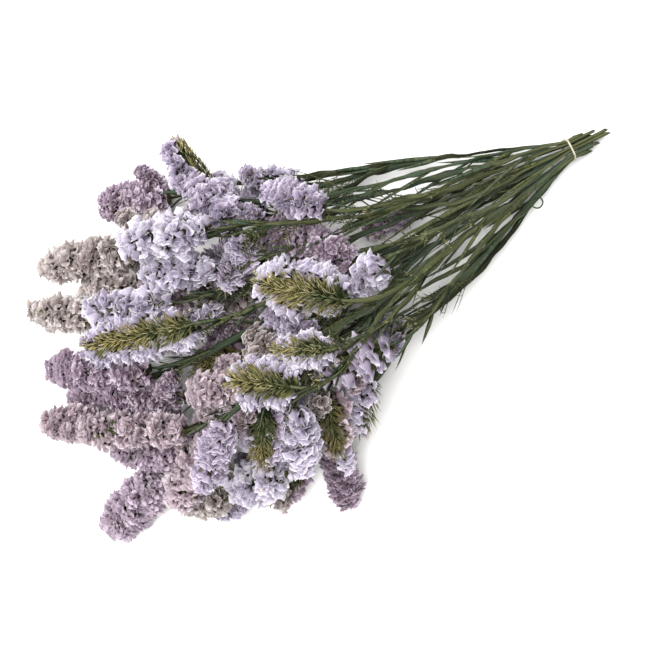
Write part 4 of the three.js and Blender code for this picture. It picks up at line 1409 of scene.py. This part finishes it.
def addBareTwig(gather, one, root, way, random):
    form = leafForm
    aside = unit(np.cross(way, random.normal(size=3)))
    if abs(one["bearing"]) > form["edge"] and aside[1] * one["bearing"] > 0:
        aside = -aside  # at the edges of the bunch they lean inward
    reach = random.uniform(*form["bareReach"])
    onward, sideways = form["corner"]
    corner = root + way * reach * onward + aside * reach * sideways
    onward, sideways, loose = form["end"]
    end = corner + way * reach * onward + aside * reach * sideways + random.normal(size=3) * reach * loose
    twig = bent(root, corner, end, form["bareSteps"])
    addStrand(gather, twig, form["bareRadii"], random.uniform(0, form["bareTint"]))
    buds = twig[form["budsFrom"]:]
    tangents = units(np.gradient(buds, axis=0))
    sides = np.where(np.arange(len(buds)) % 2, 1, -1)[:, None] * np.cross(tangents, zAxis)
    leaning, rolled = form["budJitter"]
    ways = tangents + sides * form["budSpread"] + random.normal(size=buds.shape) * leaning
    ups = zAxis + random.normal(size=buds.shape) * rolled
    lengths, wides = (random.uniform(*form[name], len(buds)) for name in ("budLength", "budWide"))
    tints = random.uniform(0, 1, len(buds))
    addBlades(gather, bract, buds, ways, ups, lengths, wides, 1, form["budStraw"], tints)


# a bare branchlet with its twiglets in a row, at the edge of the bunch
combForm = {
    "root": (84, 84, 104), "corner": (56, 101, 109), "tip": (29, 121, 111), "steps": 14,
    "radii": (0.65, 0.25), "tint": 0.6, "from": 4, "every": 2, "tooth": (-5, -9, -5),
    "toothSizes": (0.6, 1.2), "toothSteps": 5, "toothRadii": (0.45, 0.2), "toothTint": 0.7,
}


def addComb(gather, one, random):
    form = combForm
    root = nearestOn(one["line"], form["root"])
    twig = bent(root, np.array(form["corner"]), np.array(form["tip"]), form["steps"])
    addStrand(gather, twig, form["radii"], form["tint"])
    for spot in twig[form["from"]::form["every"]]:
        tooth = np.array(form["tooth"]) * random.uniform(*form["toothSizes"])
        line = bent(spot, spot + tooth * 0.5 + random.normal(size=3), spot + tooth, form["toothSteps"])
        addStrand(gather, line, form["toothRadii"], form["toothTint"], sides=4)


# a dead tendril curled into a loop, beside the stems near the tie
loopForm = {
    "middle": (215, 11.5, 20), "reach": 5.2, "turn": (150, -190), "steps": 18, "radii": (0.9, 0.65),
    "lift": 2.0, "footSteps": 4, "tint": 0.3,
}


def addLoop(gathers):
    form = loopForm
    angles = np.radians(np.linspace(*form["turn"], form["steps"]))
    rise = np.linspace(0, form["lift"] / form["reach"], form["steps"])
    ring = np.stack([np.cos(angles), np.sin(angles), rise], axis=1)
    ring = np.array(form["middle"]) + ring * form["reach"]
    owner = min(heads, key=lambda one: np.linalg.norm(one["line"] - ring[0], axis=1).min())
    root = nearestOn(owner["line"], ring[0])
    foot = bent(root, lerp(root, ring[0], 0.5), ring[0], form["footSteps"])
    addStrand(gathers[owner["node"]], np.concatenate([foot[:-1], ring]), form["radii"], form["tint"])


# every head and its stem
greenGathers = {}
for one in heads:
    greenGather = greenGathers.setdefault(one["node"], newGather())
    addStem(greenGather, one, np.random.default_rng(100 + one["number"]))
print("stems: done")

addComb(greenGathers[heads[0]["node"]], heads[0], np.random.default_rng(11))
addLoop(greenGathers)
for one in heads:
    random = np.random.default_rng(200 + one["number"])
    one["ageAndShade"] = agesAndShade.get(one["number"], usualAge)
    one["face"] = turned(one["face"], one["along"], asideBy.get(one["number"], 0))
    one["side"] = np.cross(one["along"], one["face"])
    greenGather, paperGather = greenGathers[one["node"]], newGather()
    addHeart(greenGather, one, random)
    addBracts(greenGather, one, random)
    addSpike(paperGather, greenGather, one, random)
    addSprigs(paperGather, greenGather, one, random)
    addLeafyBits(greenGather, one, random)
    if one["leads"]:
        addRibbons(greenGather, one, random)
    number, tone = f"{one['number']:02d}", one["tone"]
    makePiece(f"bloom_{number}", paperGather, [paper[tone], dryCorolla], tone, f"head_{number}")
print("flower heads: done")

for node, gather in greenGathers.items():
    makePiece(node.replace("stem", "stems"), gather, [stemGreen, bractStraw], "green", node)
print("greens: done")


# the rubber band: turns that cross each other, round a box with round corners
bandForm = {
    "thick": 1.15, "wide": 0.75, "halfWide": 10.1, "halfHigh": 7.1, "corner": 5.2, "soon": 3, "turns": 2,
    "apart": 1.2, "cross": 0.9, "steps": 72, "sides": 12,
}


def boxSide(share, half):
    # how far out the band runs, from its share of a circle's radius
    form = bandForm
    straight = np.sign(share) * (half - form["corner"]) * np.minimum(1, np.abs(share) * form["soon"])
    return straight + share * form["corner"]


def addBand(gather):
    form = bandForm
    angles, section = roundTurn(form["steps"]), roundTurn(form["sides"])
    lean = np.array(Matrix.Rotation(math.atan(bundle["slope"]), 3, "Y"))
    y, z = boxSide(np.cos(angles), form["halfWide"]), boxSide(np.sin(angles), form["halfHigh"])
    outs = np.stack([np.zeros_like(y), y / np.hypot(y, z), z / np.hypot(y, z)], axis=1)
    thick = np.cos(section)[None, :, None] * form["thick"] / 2
    wide = np.sin(section)[None, :, None] * form["wide"]
    for turn in range(form["turns"]):
        x = (turn - 0.5) * form["apart"] * np.cos(angles / 2 + turn) * form["cross"]
        middles = np.stack([x, y, z], axis=1)
        points = middles[:, None] + outs[:, None] * thick + np.array([1.0, 0, 0]) * wide
        points = points.reshape(-1, 3) @ lean.T + tieAt
        faces = tubeFaces(form["steps"] + 1, form["sides"]) % (form["steps"] * form["sides"])
        addCopies(gather, points, [faces], along=0.5)


bandGather = newGather()
addBand(bandGather)
makePiece("rubber_band", bandGather, [bandRubber], "band", "tie")
print("band: done")


# floor, light and camera, in metres: a near lamp gives more light to the heads, a far one lights evenly
studio = {
    "floor": 6.0, "floorColor": (0.92, 0.92, 0.92, 1), "floorShade": 0.985, "grain": (3.0, 2.0),
    "roughness": 0.95, "lampColor": (1, 0.99, 0.97),
    "boxAt": (-0.42, 0.3, 1.3), "boxPower": 30, "boxSize": 1.5,
    "softAt": (-0.3, 0.38, 1.5), "softPower": 3.7, "softAngle": 60,
    "horizon": 0.85, "zenith": 0.12, "zenithFrom": 0.5,  # the sky is paler round the horizon than above
    "cameraHeight": 0.8, "sensor": 36, "fieldOfView": 2 * math.atan(325 / 886), "imageTurn": 27,
}


def makeStage():
    corners = np.array([[-1, -1, 0], [1, -1, 0], [1, 1, 0], [-1, 1, 0]]) * studio["floor"] / 2
    mesh = bpy.data.meshes.new("floor")
    mesh.from_pydata([list(corner) for corner in corners], [], [(0, 1, 2, 3)])
    floor = bpy.data.objects.new("floor", mesh)
    bpy.context.scene.collection.objects.link(floor)
    material, tree = newMaterial("pale_floor")
    inputs = {"Vector": objectPlace(tree), "Scale": studio["grain"][0], "Detail": studio["grain"][1]}
    grain = addNode(tree, "ShaderNodeTexNoise", inputs)
    shade = tuple(part * studio["floorShade"] for part in studio["floorColor"][:3]) + (1,)
    color = mixColor(tree, grain.outputs[0], studio["floorColor"], shade)
    inputs = {"Base Color": color, "Roughness": studio["roughness"]}
    skin = addNode(tree, "ShaderNodeBsdfPrincipled", inputs)
    addNode(tree, "ShaderNodeOutputMaterial", {0: skin.outputs[0]})
    mesh.materials.append(material)
    floor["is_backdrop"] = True


def addLamp(name, kind, place, power, **softness):
    data = bpy.data.lights.new(name, kind)
    data.energy, data.color = power, studio["lampColor"]
    for key, value in softness.items():
        setattr(data, key, value)
    lamp = bpy.data.objects.new(name, data)
    lamp.location = place
    lamp.rotation_euler = (-lamp.location).to_track_quat("-Z", "Y").to_euler()
    bpy.context.scene.collection.objects.link(lamp)


def makeCamera():
    data = bpy.data.cameras.new("camera")
    data.sensor_width, data.sensor_fit = studio["sensor"], "HORIZONTAL"
    data.angle = studio["fieldOfView"]
    camera = bpy.data.objects.new("camera", data)
    camera.location = (-frameShift[0] * metre, -frameShift[1] * metre, studio["cameraHeight"])
    camera.rotation_euler = Euler((0, 0, math.radians(-studio["imageTurn"])))
    bpy.context.scene.collection.objects.link(camera)
    bpy.context.scene.camera = camera


def makeWorld():
    world = bpy.data.worlds.new("studio")
    world.use_nodes = True
    tree = world.node_tree
    background = tree.nodes["Background"]
    background.inputs["Color"].default_value = (1, 1, 1, 1)
    place = addNode(tree, "ShaderNodeTexCoord").outputs["Generated"]
    height = addNode(tree, "ShaderNodeSeparateXYZ", {0: place}).outputs[2]
    strength = spread(tree, height, 0.0, studio["zenithFrom"], studio["horizon"], studio["zenith"])
    tree.links.new(strength, background.inputs["Strength"])
    bpy.context.scene.world = world
    bpy.context.scene.view_settings.view_transform = "Standard"


makeStage()
addLamp("soft_box", "AREA", studio["boxAt"], studio["boxPower"], size=studio["boxSize"])
addLamp("even_light", "SUN", studio["softAt"], studio["softPower"], angle=math.radians(studio["softAngle"]))
makeCamera()
makeWorld()
print("studio: done")

triangles = sum(len(face.vertices) - 2 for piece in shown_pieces() for face in piece.data.polygons)
print("triangles:", triangles)
